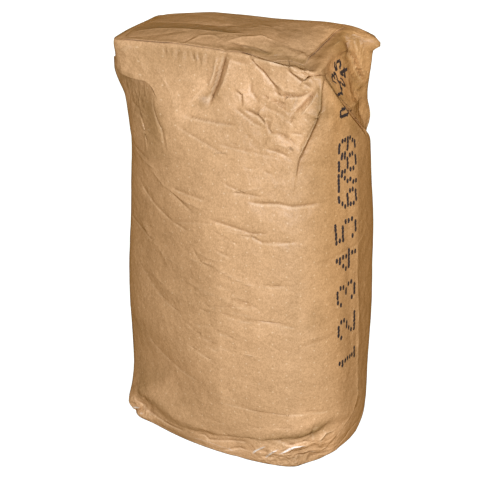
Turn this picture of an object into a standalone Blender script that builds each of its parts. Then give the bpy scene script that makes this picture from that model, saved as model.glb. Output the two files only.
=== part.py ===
"""A closed paper sack of quartz sand: a block-bottom kraft sack, the sand in it, and its two cover sheets.

Units are metres and +Z is up. The sack stands on its bottom cover sheet, centred over the origin. Its wide
front faces -Y and its valve end faces +X.
"""
import math

import bmesh
import bpy
import numpy as np
from mathutils import Matrix, Vector

# The filled sack
HEIGHT = 0.482                  # floor to the corners of the top
TOP_REACH, TOP_DEPTH = 0.117, 0.108         # half the width of the pasted top end, and its depth
BELLY_REACH, BELLY_DEPTH = 0.139, 0.172     # half the width of the belly, and its depth
PLIES = 0.0004                  # the sack's plies of paper, pressed together
SHEET = 0.0003                  # a cover sheet
CLEARANCE = 0.0003              # kept between pieces that touch

# The top end
TOP_DOME = 0.006                # how far the sand lifts the middle of the top above its long folds
FOLD_BOW = 0.006                # how far the long folds rise between the corners
HOOD_DROP = 0.005               # how far the left end of the top sags
BACK_DROP = 0.0055              # and the back left corner, further
BACK_RISE = 0.006               # the back right corner stands higher than the front one
FRONT_SHORT = 0.015             # the valve end is shorter by this at the front than at the back
HOOD_PROUD = 0.011              # the folded left end, a hood, stands proud of the tube
HOOD_FLARE = 0.014              # and its lower edge flares out over the wedge below it
HOOD_SLACK = 0.006              # the sand stays this far clear of the folds inside the hood
WEDGE_REACH = 0.153             # below the hood the left end is pinched to a wedge that reaches this far out
WEDGE_FORWARD = 0.014
WEDGE_FOLD = -0.70              # its folds run this part of the way across the front and the back
WEDGE_LENGTH = 0.130
TUCK_FALL = 0.066               # the valve end is folded in above a slanting edge, which falls by this much
TUCK_STEP = 0.003
TUCK_LEAN = 0.014
TUCK_SLACK = 0.001              # and this far clear of the tucked flap
EDGE_LEVEL = 0.050              # depth of the edge row in the net, before it follows the folds
EDGE_REACH = 0.240
VALVE_WIDTH = 0.070             # the flattened mouth of the filling valve
VALVE_LEVELS = (0.0200, 0.0208)             # depths of its two lips in the net
COVER_SIDE_MARGIN = 0.010       # top cover sheet, from the front and back folds
COVER_VALVE_MARGIN = 0.024      # and from the valve end
COVER_LIFT = 0.0002             # straight up from the folded paper below, which slopes

# The bottom end
BASE_SLANT = 0.016              # the front right corner is drawn in by this at the floor
BASE_BOW = 0.53                 # the front edge of the base curves back by this much of its depth
BASE_INSET = 0.86               # the bottom cover sheet covers this part of the base, across and back

# Sections at parts of the height: how far they reach to the left and to the right, the place of their deepest
# point, depth, squareness of the left half, of the front right quarter and of the back right quarter, and how far
# back they stand. The left half is drawn in to the tube's side fold, so it is nearer a lens than a box, and the
# front right corner is rounder than the back one.
SECTIONS = (
    (0.00, BELLY_REACH + 0.003, BELLY_REACH - 0.025, 0.004, BELLY_DEPTH - 0.048, 12.0, 7.0, 7.0, 0.000),
    (0.02, BELLY_REACH + 0.010, BELLY_REACH - 0.015, 0.004, BELLY_DEPTH - 0.036, 4.6, 4.0, 4.2, 0.000),
    (0.08, BELLY_REACH + 0.013, BELLY_REACH - 0.008, 0.004, BELLY_DEPTH - 0.012, 1.7, 2.9, 3.6, 0.000),
    (0.30, BELLY_REACH + 0.013, BELLY_REACH - 0.010, 0.004, BELLY_DEPTH, 1.38, 2.7, 4.4, 0.000),
    (0.60, BELLY_REACH + 0.009, BELLY_REACH - 0.013, 0.004, BELLY_DEPTH - 0.002, 1.4, 2.4, 4.4, 0.002),
    (0.80, BELLY_REACH - 0.001, BELLY_REACH - 0.019, 0.004, BELLY_DEPTH - 0.026, 2.6, 2.6, 4.4, 0.004),
    (0.92, TOP_REACH + 0.009, TOP_REACH + 0.003, 0.000, TOP_DEPTH + 0.014, 6.5, 6.0, 6.5, 0.005),
    (1.00, TOP_REACH + 0.009, TOP_REACH - 0.005, -0.005, TOP_DEPTH, 14.0, 14.0, 14.0, 0.005),
)

# Corners of the paper that are pulled out or pushed in: place, reach, and how far they go
PULLS = {
    "dog ear of the valve end": ((0.112, 0.044, 0.484), 0.007, (0.017, -0.001, -0.002)),
    "fin of the valve end": ((0.100, 0.058, 0.484), 0.026, (0.010, -0.014, 0.003)),
    "nub of the hood": ((-0.124, -0.050, 0.444), 0.008, (-0.004, 0.000, -0.001)),
    "back left corner of the base": ((-0.120, 0.052, 0.006), 0.024, (-0.008, 0.004, 0.000)),
    "ear of the base, left": ((-0.128, -0.044, 0.030), 0.012, (-0.004, 0.000, 0.000)),
    "front right corner of the base": ((0.112, -0.056, 0.004), 0.022, (-0.014, 0.012, 0.000)),
    "point of the base": ((0.092, -0.056, 0.004), 0.014, (0.000, -0.003, 0.000)),
    "ear of the base, right": ((0.126, 0.060, 0.014), 0.014, (0.003, 0.002, 0.000)),
}

SHARPEST = 2.0                  # the most that an inset grows at a sharp corner

# The net: cells along each side, depths of the rings below and above the edge row, and rings over each end
FRONT_CELLS, VALVE_CELLS, BACK_CELLS, HOOD_CELLS = 18, 10, 16, 8
LOWER = (0.482, 0.478, 0.472, 0.462, 0.448, 0.428, 0.400, 0.365, 0.325, 0.285, 0.245, 0.210, 0.180, 0.152,
         0.128, 0.107, 0.090, 0.076, 0.065, 0.0580, 0.0535, 0.050)
UPPER = (0.047, 0.039, 0.030, 0.0208, 0.0200, 0.010, 0.004, 0.0)
TOP_RINGS, BASE_RINGS = 7, 4


def clear_scene():
    for item in list(bpy.data.objects):
        bpy.data.objects.remove(item)


def material(name, colour, roughness):
    finish = bpy.data.materials.new(name)
    finish.use_nodes = True
    shader = finish.node_tree.nodes["Principled BSDF"]
    shader.inputs["Base Color"].default_value = (*colour, 1.0)
    shader.inputs["Roughness"].default_value = roughness
    shader.inputs["Metallic"].default_value = 0.0
    return finish


def smooth(edge0, edge1, x):
    """0 at edge0 and 1 at edge1, with a soft step between."""
    t = np.clip((x - edge0) / (edge1 - edge0), 0.0, 1.0)
    return t * t * (3.0 - 2.0 * t)


def section_slopes():
    table = np.array(SECTIONS)
    before = table[[0, *range(len(table) - 1)]]
    after = table[[*range(1, len(table)), len(table) - 1]]
    return (after - before) / (after[:, :1] - before[:, :1])


def sections(part):
    """Reaches, deepest place, half depth, squareness left, front right and back right, and setback."""
    table, slopes = np.array(SECTIONS), section_slopes()
    i = np.clip(np.searchsorted(table[:, 0], part, side="right") - 1, 0, len(table) - 2)
    low, high = table[i], table[i + 1]
    span = high[..., :1] - low[..., :1]
    t = (part[..., None] - low[..., :1]) / span
    values = ((1 + 2 * t) * (1 - t) ** 2 * low + t * (1 - t) ** 2 * span * slopes[i]
              + t * t * (3 - 2 * t) * high - t * t * (1 - t) * span * slopes[i + 1])
    left, right, middle, depth, *squareness, back = np.moveaxis(values[..., 1:], -1, 0)
    return left, right, middle, depth / 2, *squareness, back


def from_left_corner(u, v):
    """Distance from the nearest left corner of the top: positive along the long sides, negative on the end."""
    return (u + 1) * (TOP_REACH + 0.008) - (1 - abs(v)) * (TOP_DEPTH / 2 + 0.008)


def edge_below(u, v):
    """How far below the top the edge row runs: the hood's lower edge on the left, the tuck's edge on the right."""
    across = from_left_corner(u, v)
    hood = 0.036 + 0.006 * smooth(-0.010, 0.020, across) + 0.050 * smooth(0.027, 0.068, across) ** 1.2
    tuck = np.maximum(TUCK_FALL * (v + 1), 0.010)
    other = EDGE_LEVEL + (tuck - EDGE_LEVEL) * smooth(0.5, 1.0, u)
    return other + (hood - other) * smooth(0.1, -0.4, u)


def sack_points(u, v, part, upper):
    """Points of the sack: u across and v from front to back, from -1 to 1, and the part of the height.

    Upper is 1 above the edge row, which is part of the hood on the left and of the tucked flap on the right.
    """
    left_reach, right_reach, middle, half_depth, *squareness, setback = sections(part)
    square = np.where(u < 0, squareness[0], np.where(v < 0, squareness[1], squareness[2]))
    half_width = np.where(u < 0, left_reach + middle, right_reach - middle)
    edge = np.maximum(np.maximum(abs(u), abs(v)), 1e-6)
    round_off = edge / (abs(u) ** square + abs(v) ** square + 1e-12) ** (1 / square)
    round_off = np.where(edge > 1e-5, round_off, 1.0)
    x, y = middle + half_width * u * round_off, half_depth * v * round_off
    z = part * HEIGHT
    below = (1 - part) * HEIGHT
    past_edge = edge_below(u, v) - below
    top = smooth(0.80, 1.0, part)
    right, back = smooth(0.0, 1.0, u), smooth(-1.0, 1.0, v)

    # The hood of the left end stands proud, and below it the tube is still pinched to a wedge
    hood = np.where(past_edge >= -1e-5, 1.0, 0.0)
    flare = HOOD_FLARE * (1 - v * v) * smooth(0.0, 0.036, below)
    x = x - (HOOD_PROUD + flare) * smooth(-0.6, -1.0, u) * hood
    fold = WEDGE_FOLD + 0.10 * smooth(0.05, 0.12, below)
    pinch = (1 - hood) * smooth(WEDGE_LENGTH, 0.050, below) * np.where(u < fold, 1.0, 0.0)
    on_front, on_end = np.clip(fold - u, 0.0, 1.0) * half_width, (1 - abs(v)) * half_depth
    along = (on_front + on_end) / ((1 + fold) * half_width + half_depth)
    rounding = (abs(fold) ** square + 1) ** (-1 / square)
    fold_x, fold_y = middle + half_width * fold * rounding, half_depth * rounding
    wedge_x = fold_x + along * (-WEDGE_REACH - fold_x)
    wedge_y = np.sign(v) * fold_y * (1 - along) - WEDGE_FORWARD * along
    x, y = x + pinch * (wedge_x - x), y + pinch * (wedge_y - y)

    # The valve end slants at the top, its back corner is a fin, and above the slanting edge it is folded in
    x = x - FRONT_SHORT * smooth(0.72, 0.97, part) * right * smooth(0.6, -1.0, v)
    at_end = smooth(0.6, 1.0, u)
    fin = smooth(0.40, 0.9, v) * smooth(0.0, 0.03, past_edge)
    lean = smooth(0.0, 0.06, past_edge) * (1 - fin)
    x = x - at_end * upper * (TUCK_STEP * (1 - 0.7 * fin) + TUCK_LEAN * lean)

    # The edges of the base are bowed, and its valve end slants too
    base = smooth(0.10, 0.0, part)
    y = y * (1 - base * u * u * np.where(u < 0, BASE_BOW, BASE_BOW / 3) * smooth(0.0, -1.0, v))
    x = x - BASE_SLANT * smooth(0.16, 0.0, part) * right * smooth(0.6, -1.0, v)

    # The sand domes the top, its long folds rise between the corners, and corners sag or rise
    z = z + FOLD_BOW * top * ((1 - back) * (1 - u * u) + 0.75 * back * (1 - u ** 4))
    z = z - HOOD_DROP * top * smooth(0.2, -1.0, u) - BACK_DROP * top * smooth(-0.5, -1.0, u) * smooth(-0.6, 1.0, v)
    z = z + BACK_RISE * top * smooth(0.0, 0.8, u) * smooth(-0.4, 1.0, v)
    z = z + TOP_DOME * np.where(part == 1.0, ((1 - u * u) * (1 - v * v)) ** 0.7, 0.0)
    points = np.stack([x, y + setback, z], axis=-1)
    for place, reach, pull in PULLS.values():
        near = np.exp(-np.sum((points - np.array(place)) ** 2, axis=-1) / reach ** 2)
        points = points + near[..., None] * np.array(pull)
    points[..., 2] += SHEET + CLEARANCE
    return points


def spread(cells, *weights):
    """Positions from -1 to 1, closer together where a weight, given at even places along, is larger."""
    fine = np.linspace(-1, 1, 400)
    density = np.interp(fine, np.linspace(-1, 1, len(weights)), weights)
    total = np.concatenate([[0], np.cumsum((density[1:] + density[:-1]) / 2)])
    return np.interp(np.linspace(0, total[-1], cells + 1), total, fine)


def net_of_sack():
    """Points and faces of the sack as one closed net: rings up the tube, which shrink to a point over each end.

    The last ring of the lower ones follows the edge of the hood and of the tucked flap.
    """
    front, valve = spread(FRONT_CELLS, 1.6, 1.5, 1, 1, 1.5), spread(VALVE_CELLS, 1.3, 1, 1.3)
    back, hood = spread(BACK_CELLS, 1.6, 1.4, 1, 1, 1.5), spread(HOOD_CELLS, 1.3, 1, 1.3)
    ring_u = np.concatenate([front[:-1], np.ones(VALVE_CELLS), back[:0:-1], -np.ones(HOOD_CELLS)])
    ring_v = np.concatenate([-np.ones(FRONT_CELLS), valve[:-1], np.ones(BACK_CELLS), hood[:0:-1]])
    columns = len(ring_u)
    depths = np.array([*LOWER, *UPPER])[:, None]
    edge = edge_below(ring_u, ring_v)[None, :]
    stretched = EDGE_REACH - (EDGE_REACH - depths) * (EDGE_REACH - edge) / (EDGE_REACH - EDGE_LEVEL)
    below = np.where(depths < EDGE_REACH, stretched, depths)
    below = np.where(depths < EDGE_LEVEL, depths * edge / EDGE_LEVEL, below)
    base_shrink = np.linspace(0.0, 1.0, BASE_RINGS + 1)[1:-1]
    top_shrink = np.linspace(1.0, 0.0, TOP_RINGS + 1)[1:-1]
    shrink = np.concatenate([base_shrink, np.ones(len(depths)), top_shrink])[:, None]
    ends = np.ones((1, columns))
    part = np.concatenate([0 * base_shrink[:, None] * ends, 1 - below / HEIGHT, ends + 0 * top_shrink[:, None]])
    above = np.concatenate([0 * base_shrink, 0 * np.array(LOWER), np.ones(len(UPPER) + len(top_shrink))])[:, None]
    rings = sack_points(shrink * ring_u, shrink * ring_v, part, above)
    top_middle, base_middle = sack_points(np.zeros(2), np.zeros(2), np.array([1.0, 0.0]), np.array([1.0, 0.0]))
    rows = len(shrink)
    faces = []
    for c in range(columns):
        beside = (c + 1) % columns
        for row in range(0, (rows - 1) * columns, columns):
            faces.append((row + c, row + beside, row + columns + beside, row + columns + c))
        faces.append(((rows - 1) * columns + c, (rows - 1) * columns + beside, rows * columns))
        faces.append((beside, c, rows * columns + 1))
    return np.concatenate([rings.reshape(-1, 3), [top_middle, base_middle]]), faces, columns


def sack_mesh():
    points, faces, columns = net_of_sack()
    mesh = bmesh.new()
    corners = [mesh.verts.new(point) for point in points.tolist()]
    for face in faces:
        mesh.faces.new([corners[i] for i in face])
    bmesh.ops.triangulate(mesh, faces=mesh.faces[:])
    mesh.normal_update()
    return mesh, corners, columns


def add_object(name, mesh, finish):
    data = bpy.data.meshes.new(name)
    mesh.to_mesh(data)
    mesh.free()
    data.materials.append(finish)
    data.shade_smooth()
    data.set_sharp_from_angle(angle=math.radians(35))
    piece = bpy.data.objects.new(name, data)
    bpy.context.scene.collection.objects.link(piece)
    return piece


def paper_sack(paper):
    """The plies of the sack, with the flattened mouth of its valve left open."""
    mesh, corners, columns = sack_mesh()
    first = BASE_RINGS - 1 + len(LOWER) + UPPER.index(VALVE_LEVELS[1])
    lips = range(first * columns + FRONT_CELLS, first * columns + FRONT_CELLS + VALVE_CELLS + 1)
    mouth = {corners[i + row * columns] for i in lips for row in (0, 1)}
    mouth = {corner for corner in mouth if abs(corner.co.y) < VALVE_WIDTH / 2}
    slit = [face for face in mesh.faces if all(corner in mouth for corner in face.verts)]
    bmesh.ops.delete(mesh, geom=slit, context="FACES_ONLY")
    sack = add_object("paper_sack", mesh, paper)
    wall = sack.modifiers.new("plies", "SOLIDIFY")
    wall.thickness = PLIES
    wall.offset = -1.0
    wall.use_even_offset = True
    return sack


def sand_fill(sand):
    """The sand, packed to the inside of the plies."""
    mesh, corners, columns = sack_mesh()
    inset = PLIES + CLEARANCE
    moved = {
        corner: corner.co - corner.normal * inset * min(corner.calc_shell_factor(), SHARPEST)
        for corner in mesh.verts
    }
    for corner, place in moved.items():
        below_top = smooth(0.480, 0.465, place.z)
        slack = HOOD_SLACK * smooth(-0.03, -0.08, place.x) * smooth(0.37, 0.40, place.z) * below_top
        slack += TUCK_SLACK * smooth(0.06, 0.09, place.x) * smooth(0.33, 0.35, place.z) * below_top
        corner.co = place - Vector((place.x, place.y, 0.0)).normalized() * float(slack)
    return add_object("sand_fill", mesh, sand)


def sheet_mesh(points, thickness):
    """A sheet over a grid of points, thickened straight up from them."""
    mesh = bmesh.new()
    under = [[mesh.verts.new(point) for point in row] for row in points]
    over = [[mesh.verts.new(raised(point, thickness)) for point in row] for row in points]
    rows, columns = len(points), len(points[0])
    for r in range(rows - 1):
        for c in range(columns - 1):
            mesh.faces.new((over[r][c], over[r][c + 1], over[r + 1][c + 1], over[r + 1][c]))
            mesh.faces.new((under[r][c], under[r + 1][c], under[r + 1][c + 1], under[r][c + 1]))
    rim = [(r, 0) for r in range(rows - 1)] + [(rows - 1, c) for c in range(columns - 1)]
    rim += [(r, columns - 1) for r in range(rows - 1, 0, -1)] + [(0, c) for c in range(columns - 1, 0, -1)]
    for (r0, c0), (r1, c1) in zip(rim, rim[1:] + rim[:1]):
        mesh.faces.new((over[r0][c0], over[r1][c1], under[r1][c1], under[r0][c0]))
    bmesh.ops.triangulate(mesh, faces=mesh.faces[:])
    bmesh.ops.recalc_face_normals(mesh, faces=mesh.faces[:])
    return mesh


def raised(point, lift):
    return point + Vector((0.0, 0.0, lift))


def grid_of_end(columns, rows, part):
    """Points of the folded end of the sack over a grid, u across and v from front to back."""
    u, v = np.meshgrid(np.array(columns), np.array(rows))
    points = sack_points(u, v, part + 0 * u, part + 0 * u)
    return [[Vector(point) for point in row] for row in points.tolist()]


def top_cover_sheet(paper):
    """The sheet pasted over the closed top, short of the valve end."""
    side = 1 - 2 * COVER_SIDE_MARGIN / TOP_DEPTH
    end = 1 - COVER_SIDE_MARGIN / TOP_REACH
    valve_end = 1 - COVER_VALVE_MARGIN / TOP_REACH
    grid = grid_of_end(np.linspace(-end, valve_end, 21), np.linspace(-side, side, 11), 1.0)
    lifted = [[raised(point, CLEARANCE + COVER_LIFT) for point in row] for row in grid]
    return add_object("top_cover_sheet", sheet_mesh(lifted, SHEET), paper)


def bottom_cover_sheet(paper):
    """The sheet pasted over the closed bottom, which stands on the floor."""
    grid = grid_of_end(np.linspace(-BASE_INSET, BASE_INSET, 13), np.linspace(-BASE_INSET, BASE_INSET, 9), 0.0)
    flat = [[Vector((point.x, point.y, 0.0)) for point in row] for row in grid]
    return add_object("bottom_cover_sheet", sheet_mesh(flat, SHEET), paper)


def centre_over_origin(pieces):
    """Moves every piece by the same amount, so that the sack's outline is centred over the origin."""
    corners = [corner.co for piece in pieces for corner in piece.data.vertices]
    middle = [(min(co[axis] for co in corners) + max(co[axis] for co in corners)) / 2 for axis in (0, 1)]
    for piece in pieces:
        piece.data.transform(Matrix.Translation((-middle[0], -middle[1], 0.0)))


def main():
    clear_scene()
    kraft = material("kraft_paper", (0.56, 0.34, 0.18), 0.62)
    cover = material("cover_paper", (0.53, 0.32, 0.17), 0.64)
    quartz = material("quartz_sand", (0.72, 0.64, 0.50), 0.9)
    centre_over_origin([paper_sack(kraft), sand_fill(quartz), top_cover_sheet(cover), bottom_cover_sheet(cover)])


main()
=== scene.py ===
"""Looks of the paper sack of quartz sand: creased kraft paper, pasted ends and a stamped row of figures."""
import math
import random
import bpy
import numpy as np
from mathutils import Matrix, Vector
from mathutils.bvhtree import BVHTree
from mathutils.geometry import delaunay_2d_cdt
from mathutils.noise import noise


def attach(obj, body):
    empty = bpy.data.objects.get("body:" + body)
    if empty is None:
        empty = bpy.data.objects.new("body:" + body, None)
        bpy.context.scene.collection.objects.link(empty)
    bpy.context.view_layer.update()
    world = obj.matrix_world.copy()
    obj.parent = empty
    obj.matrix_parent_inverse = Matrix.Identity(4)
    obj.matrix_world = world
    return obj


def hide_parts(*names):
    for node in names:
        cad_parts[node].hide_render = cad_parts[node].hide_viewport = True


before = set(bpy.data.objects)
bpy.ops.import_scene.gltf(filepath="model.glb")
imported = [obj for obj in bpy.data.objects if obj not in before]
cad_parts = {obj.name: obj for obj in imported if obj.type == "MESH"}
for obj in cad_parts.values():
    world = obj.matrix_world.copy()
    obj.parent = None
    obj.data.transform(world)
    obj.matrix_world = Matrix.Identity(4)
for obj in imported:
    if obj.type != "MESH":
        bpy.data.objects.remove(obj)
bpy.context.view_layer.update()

# The filled sack, in metres as in the solids
HEIGHT = 0.482
TOP_REACH, TOP_DEPTH = 0.117, 0.108
BELLY_REACH, BELLY_DEPTH = 0.139, 0.172
SHEET = 0.0003
CLEARANCE = 0.0003
CENTRE = (0.01098, -0.00081)    # moves the outline over the origin, as the solids are

# The top end
TOP_DOME = 0.006
FOLD_BOW = 0.006
BACK_BOW = 0.75                 # part of it at the back fold
FRONT_FALL = 0.0056             # the front fold falls by this much towards the valve end
HOOD_DROP = 0.005
BACK_DROP = 0.0055
BACK_RISE = 0.0072
FRONT_SHORT = 0.015
HOOD_PROUD = 0.011
HOOD_FLARE = 0.014
HOOD_CORNER = 0.008             # its corners lie this far outside the top's
HOOD_DEPTH = 0.036              # its lower edge is this far down at the end, then runs down along the front
HOOD_SAG, HOOD_SLANT = 0.006, 0.050
WEDGE_REACH = 0.160             # below the hood the left end is pinched to a wedge that reaches this far out
WEDGE_FORWARD = 0.008
WEDGE_FOLD = -0.70              # its folds run this part of the way across the front and the back
WEDGE_FOLD_SHIFT = 0.10         # and move by this further down
WEDGE_LENGTH = 0.130
TUCK_FALL = 0.0751              # the valve end is folded in above a slanting edge, which falls by this much
TUCK_START = 0.0108
TUCK_LEAST = 0.004              # and starts no higher than this far below the top
TUCK_STEP = 0.003
TUCK_GROOVE = 0.004             # the tuck is this much deeper close under the edge
TUCK_LEAN = 0.014
FIN_STEP = 0.3                  # part of the tuck's step that is left at the fin
UNDERLAP = 0.0016               # the tucked paper starts this far below the flap's edge
EDGE_LEVEL = 0.050              # depth of the edge row in the net, before it follows the folds
EDGE_REACH = 0.240

# The base
BASE_SLANT = 0.016
BASE_BOW = 0.53                 # its front edge curves back by this much of its depth

# The sheet pasted over the top, its wrinkles and the room for them in the folded paper below
COVER_SIDE_MARGIN = 0.010       # from the front and back folds
COVER_VALVE_MARGIN = 0.024      # from the valve end
COVER_FRONT_GAP = (0.02, 0.38)  # its front edge draws back from the fold, at the left and at the right
COVER_LIFT = 0.0005
COVER_WRINKLE_ROOM = 0.0015
COVER_BORDER_CELLS = 6          # the room fades to nothing over this many cells of its grid, at its border
COVER_CRUMPLE = 0.4             # in mm
COVER_CURL = 0.0008             # its valve end and its front edge stand off the paper by this

# The sand stays this far inside the paper, along rays from between these heights of the sack's axis
SAND_CLEAR = 0.012
SAND_AXIS = (0.06, 0.40)

# How many cells each stretch of the net has, and how close together they lie at even places along it
FRONT_CELLS = (170, 1.2, 0.9, 1.1, 1.6, 1.9)
BACK_CELLS = (60, 1.2, 1, 1.2)
VALVE_CELLS = (76, 1.4, 1, 1.2)
HOOD_CELLS = (40, 1.2, 1, 1.6)
TUBE_CELLS = (196, 3.2, 1.4, 1, 1, 1, 1.3, 2.6, 3.4, 3.4, 3.4)
EDGE_CELLS = (34, 1, 1)
TOP_RINGS, BASE_RINGS = 26, 8
COVER_COLUMNS, COVER_ROWS = 190, 96
SAND_CELLS = (60, 30, 60, 24)   # along the front, the back, the valve end and the hood
SAND_LEVELS, SAND_TOP_RINGS, SAND_BASE_RINGS = 90, 12, 6

# Sections at parts of the height: how far they reach to the left and to the right, the place of their
# deepest point, depth, squareness of the left half, of the front right quarter and of the back right
# quarter, and how far back they stand. The left half is drawn in to the tube's side fold, so it is nearer
# a lens than a box, and the front right corner is rounder than the back one.
SECTIONS = (
    (0.00, BELLY_REACH + 0.003, BELLY_REACH - 0.025, 0.004, BELLY_DEPTH - 0.048, 12.0, 7.0, 7.0, 0.000),
    (0.02, BELLY_REACH + 0.010, BELLY_REACH - 0.015, 0.004, BELLY_DEPTH - 0.036, 4.6, 4.0, 4.2, 0.000),
    (0.08, BELLY_REACH + 0.013, BELLY_REACH - 0.008, 0.004, BELLY_DEPTH - 0.012, 1.7, 2.9, 3.6, 0.000),
    (0.30, BELLY_REACH + 0.0155, BELLY_REACH - 0.010, 0.004, BELLY_DEPTH, 1.38, 2.7, 4.4, 0.000),
    (0.60, BELLY_REACH + 0.009, BELLY_REACH - 0.013, 0.004, BELLY_DEPTH - 0.002, 1.4, 2.4, 4.4, 0.002),
    (0.80, BELLY_REACH - 0.001, BELLY_REACH - 0.019, 0.004, BELLY_DEPTH - 0.026, 2.6, 2.6, 4.4, 0.004),
    (0.92, TOP_REACH + 0.009, TOP_REACH + 0.003, 0.000, TOP_DEPTH + 0.004, 6.5, 6.0, 6.5, 0.003),
    (1.00, TOP_REACH + 0.009, TOP_REACH - 0.005, -0.005, TOP_DEPTH, 14.0, 14.0, 14.0, 0.005),
)

# Corners of the paper that are pulled out or pushed in: place, reach, and how far they go
PULLS = {
    "dog ear of the valve end": ((0.112, 0.044, 0.484), 0.0072, (0.019, -0.001, -0.002)),
    "fin of the valve end": ((0.100, 0.058, 0.484), 0.026, (0.010, -0.014, 0.003)),
    "round end of the hood": ((-0.126, -0.050, 0.470), 0.012, (-0.004, -0.001, 0.000)),
    "nub of the hood": ((-0.124, -0.050, 0.444), 0.008, (-0.004, 0.000, -0.001)),
    "back left corner of the base": ((-0.120, 0.052, 0.006), 0.024, (-0.008, 0.004, 0.000)),
    "ear of the base, left": ((-0.128, -0.044, 0.030), 0.012, (-0.004, 0.000, 0.000)),
    "front left corner of the base": ((-0.130, -0.044, 0.002), 0.016, (-0.005, -0.006, 0.000)),
    "bulge below the fin": ((0.118, 0.058, 0.398), 0.014, (0.006, 0.000, 0.000)),
    "front right corner of the base": ((0.112, -0.056, 0.004), 0.022, (-0.014, 0.012, 0.000)),
    "point of the base": ((0.092, -0.056, 0.004), 0.014, (0.004, -0.005, 0.000)),
    "ear of the base, right": ((0.126, 0.060, 0.014), 0.014, (0.003, 0.002, 0.000)),
}

# The paper's finish: linear colours
KRAFT_LIGHT = (0.76, 0.485, 0.255)
KRAFT_DARK = (0.42, 0.250, 0.115)
# painted shade along the valleys of the folds
CREASE_SHADE = (0.36, 0.165, 0.058)
# pale: the pinholes, the ridges, partly rubbed and partly a painted highlight, and a painted highlight below
# the valleys
KRAFT_PALE_AND_HIGHLIGHT = (0.86, 0.64, 0.40)
# painted glints on the folds of the base
GLINT_COLOUR = (0.86, 0.80, 0.70)
COVER_TINT = 0.97
KRAFT_ROUGHNESS = 0.58
KRAFT_SPECULAR = 0.45

# Its patterns: how many to the metre, and their share of its tone
FIBRES, FIBRE_TONE = (950, 950, 600), 0.45
MOTTLES, MOTTLE_TONE = 330.0, 0.35
CLOUDS, CLOUD_TONE = 45.0, 0.2
SMALL_FACETS = 170.0
LARGE_FACETS = 75.0
RIPPLES = 85.0

# Their relief in metres, that of the facets for each mm of crumpling, and that of the sharp line of a fold
FIBRE_RELIEF = 0.0001
MOTTLE_RELIEF = 0.00018
RIPPLE_RELIEF = 0.0009
SMALL_FACET_RELIEF = 0.0008
LARGE_FACET_RELIEF = 0.0022
FOLD_RELIEF = 0.0008

# How much the red, green and blue follow the painted light and shade and the painted warm shade
LIGHT_AND_SHADE_FOLLOWS = (1.0, 1.08, 1.35)
WARM_SHADE_FOLLOWS = (0.35, -0.3, -1.5)

# Rows of pinholes, in metres on the flat sheet
PINHOLE_ROWS = 0.0075
PINHOLE_COLUMNS = 0.029
PINHOLE_SIZE = 0.0016
PINHOLE_SHARE = 0.55

# Sand and ink
SAND_CLEAR_GRAIN = (0.82, 0.76, 0.64)
SAND_AMBER_GRAIN = (0.55, 0.44, 0.30)
SAND_GRAINS = 1400.0
SAND_RELIEF = 0.0006
INK_BLACK = (0.022, 0.019, 0.026)
INK_THIN = (0.12, 0.08, 0.06)
INK_SPECKS = 900.0

# A row of plain figures, read upwards on the valve side, of streaks of ink in five columns and seven rows
FIGURE_HEIGHT = 0.030
FIGURE_WIDTH = 0.0190
STREAK = {"Width": 0.0036, "Length": 0.0062, "Depth": 0.0001}
STREAK_SIDES = 8
STREAK_STRAY = (0.04, 0.01)     # along and across the row, in parts of a figure
STREAK_SHRINK = 0.35            # a small figure's streaks shrink by this power of its size
INK_LIFT = 0.00012
FIGURES = {
    "0": ("01110", "10001", "10001", "10001", "10001", "10001", "01110"),
    "1": ("00100", "01100", "00100", "00100", "00100", "00100", "01110"),
    "2": ("01110", "10001", "00001", "00110", "01000", "10000", "11111"),
    "3": ("01110", "10001", "00001", "00110", "00001", "10001", "01110"),
    "4": ("00010", "00110", "01010", "10010", "11111", "00010", "00010"),
    "5": ("11111", "10000", "11110", "00001", "00001", "10001", "01110"),
    "6": ("00110", "01000", "10000", "11110", "10001", "10001", "01110"),
    "7": ("11111", "00001", "00010", "00100", "00100", "01000", "01000"),
    "8": ("01110", "10001", "10001", "01110", "10001", "10001", "01110"),
    "9": ("01110", "10001", "10001", "01111", "00001", "00010", "01100"),
}
# Each figure with the pixel of the photograph at its middle, and its size
FIGURE_PLACES = (
    ("1", (347.5, 358), 1.0), ("2", (346.5, 326), 1.0), ("3", (346, 293), 1.0), ("4", (346, 260), 1.0),
    ("5", (346, 230), 1.0), ("6", (347.5, 198), 0.82), ("7", (347.5, 180.5), 0.82), ("8", (347.5, 163), 0.82),
    ("9", (347.5, 145.5), 0.82), ("0", (344.5, 112), 0.42), ("1", (339.5, 94), 0.34), ("2", (342, 84), 0.42),
    ("3", (334.5, 78), 0.38), ("4", (343.5, 73), 0.4), ("5", (337, 65), 0.36),
)

# The camera, at the photograph's viewing angle, which is 480 pixels square
PHOTO_SIDE = 480
CAMERA_AZIMUTH = 25.0
CAMERA_ELEVATION = 28.0
CAMERA_DISTANCE = 1.6
CAMERA_TARGET = Vector((0.0, 0.0, 0.25))
FOCAL_PIXELS = 1447.0
IMAGE_SHIFT = (1.1, -2.8)       # pixels, right and down
SENSOR_WIDTH = 36.0

# The studio: the lights' azimuth, elevation, distance, size, watts and colour, and the fill from all round
LIGHTS = {
    "flash": (CAMERA_AZIMUTH, 25.0, 2.3, 0.35, 51.0, (0.98, 1.06, 1.22)),
    "back light": (205.0, 8.0, 2.3, 0.8, 16.0, (1.0, 0.95, 0.85)),
}
FILL = 0.24
FILL_COLOUR = (1.0, 0.56, 0.04)
FLOOR_SIZE = 80.0
FLOOR_COLOUR = (0.42, 0.45, 0.46)
FLOOR_GLOW = (0.90, 0.98, 1.0)
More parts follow.
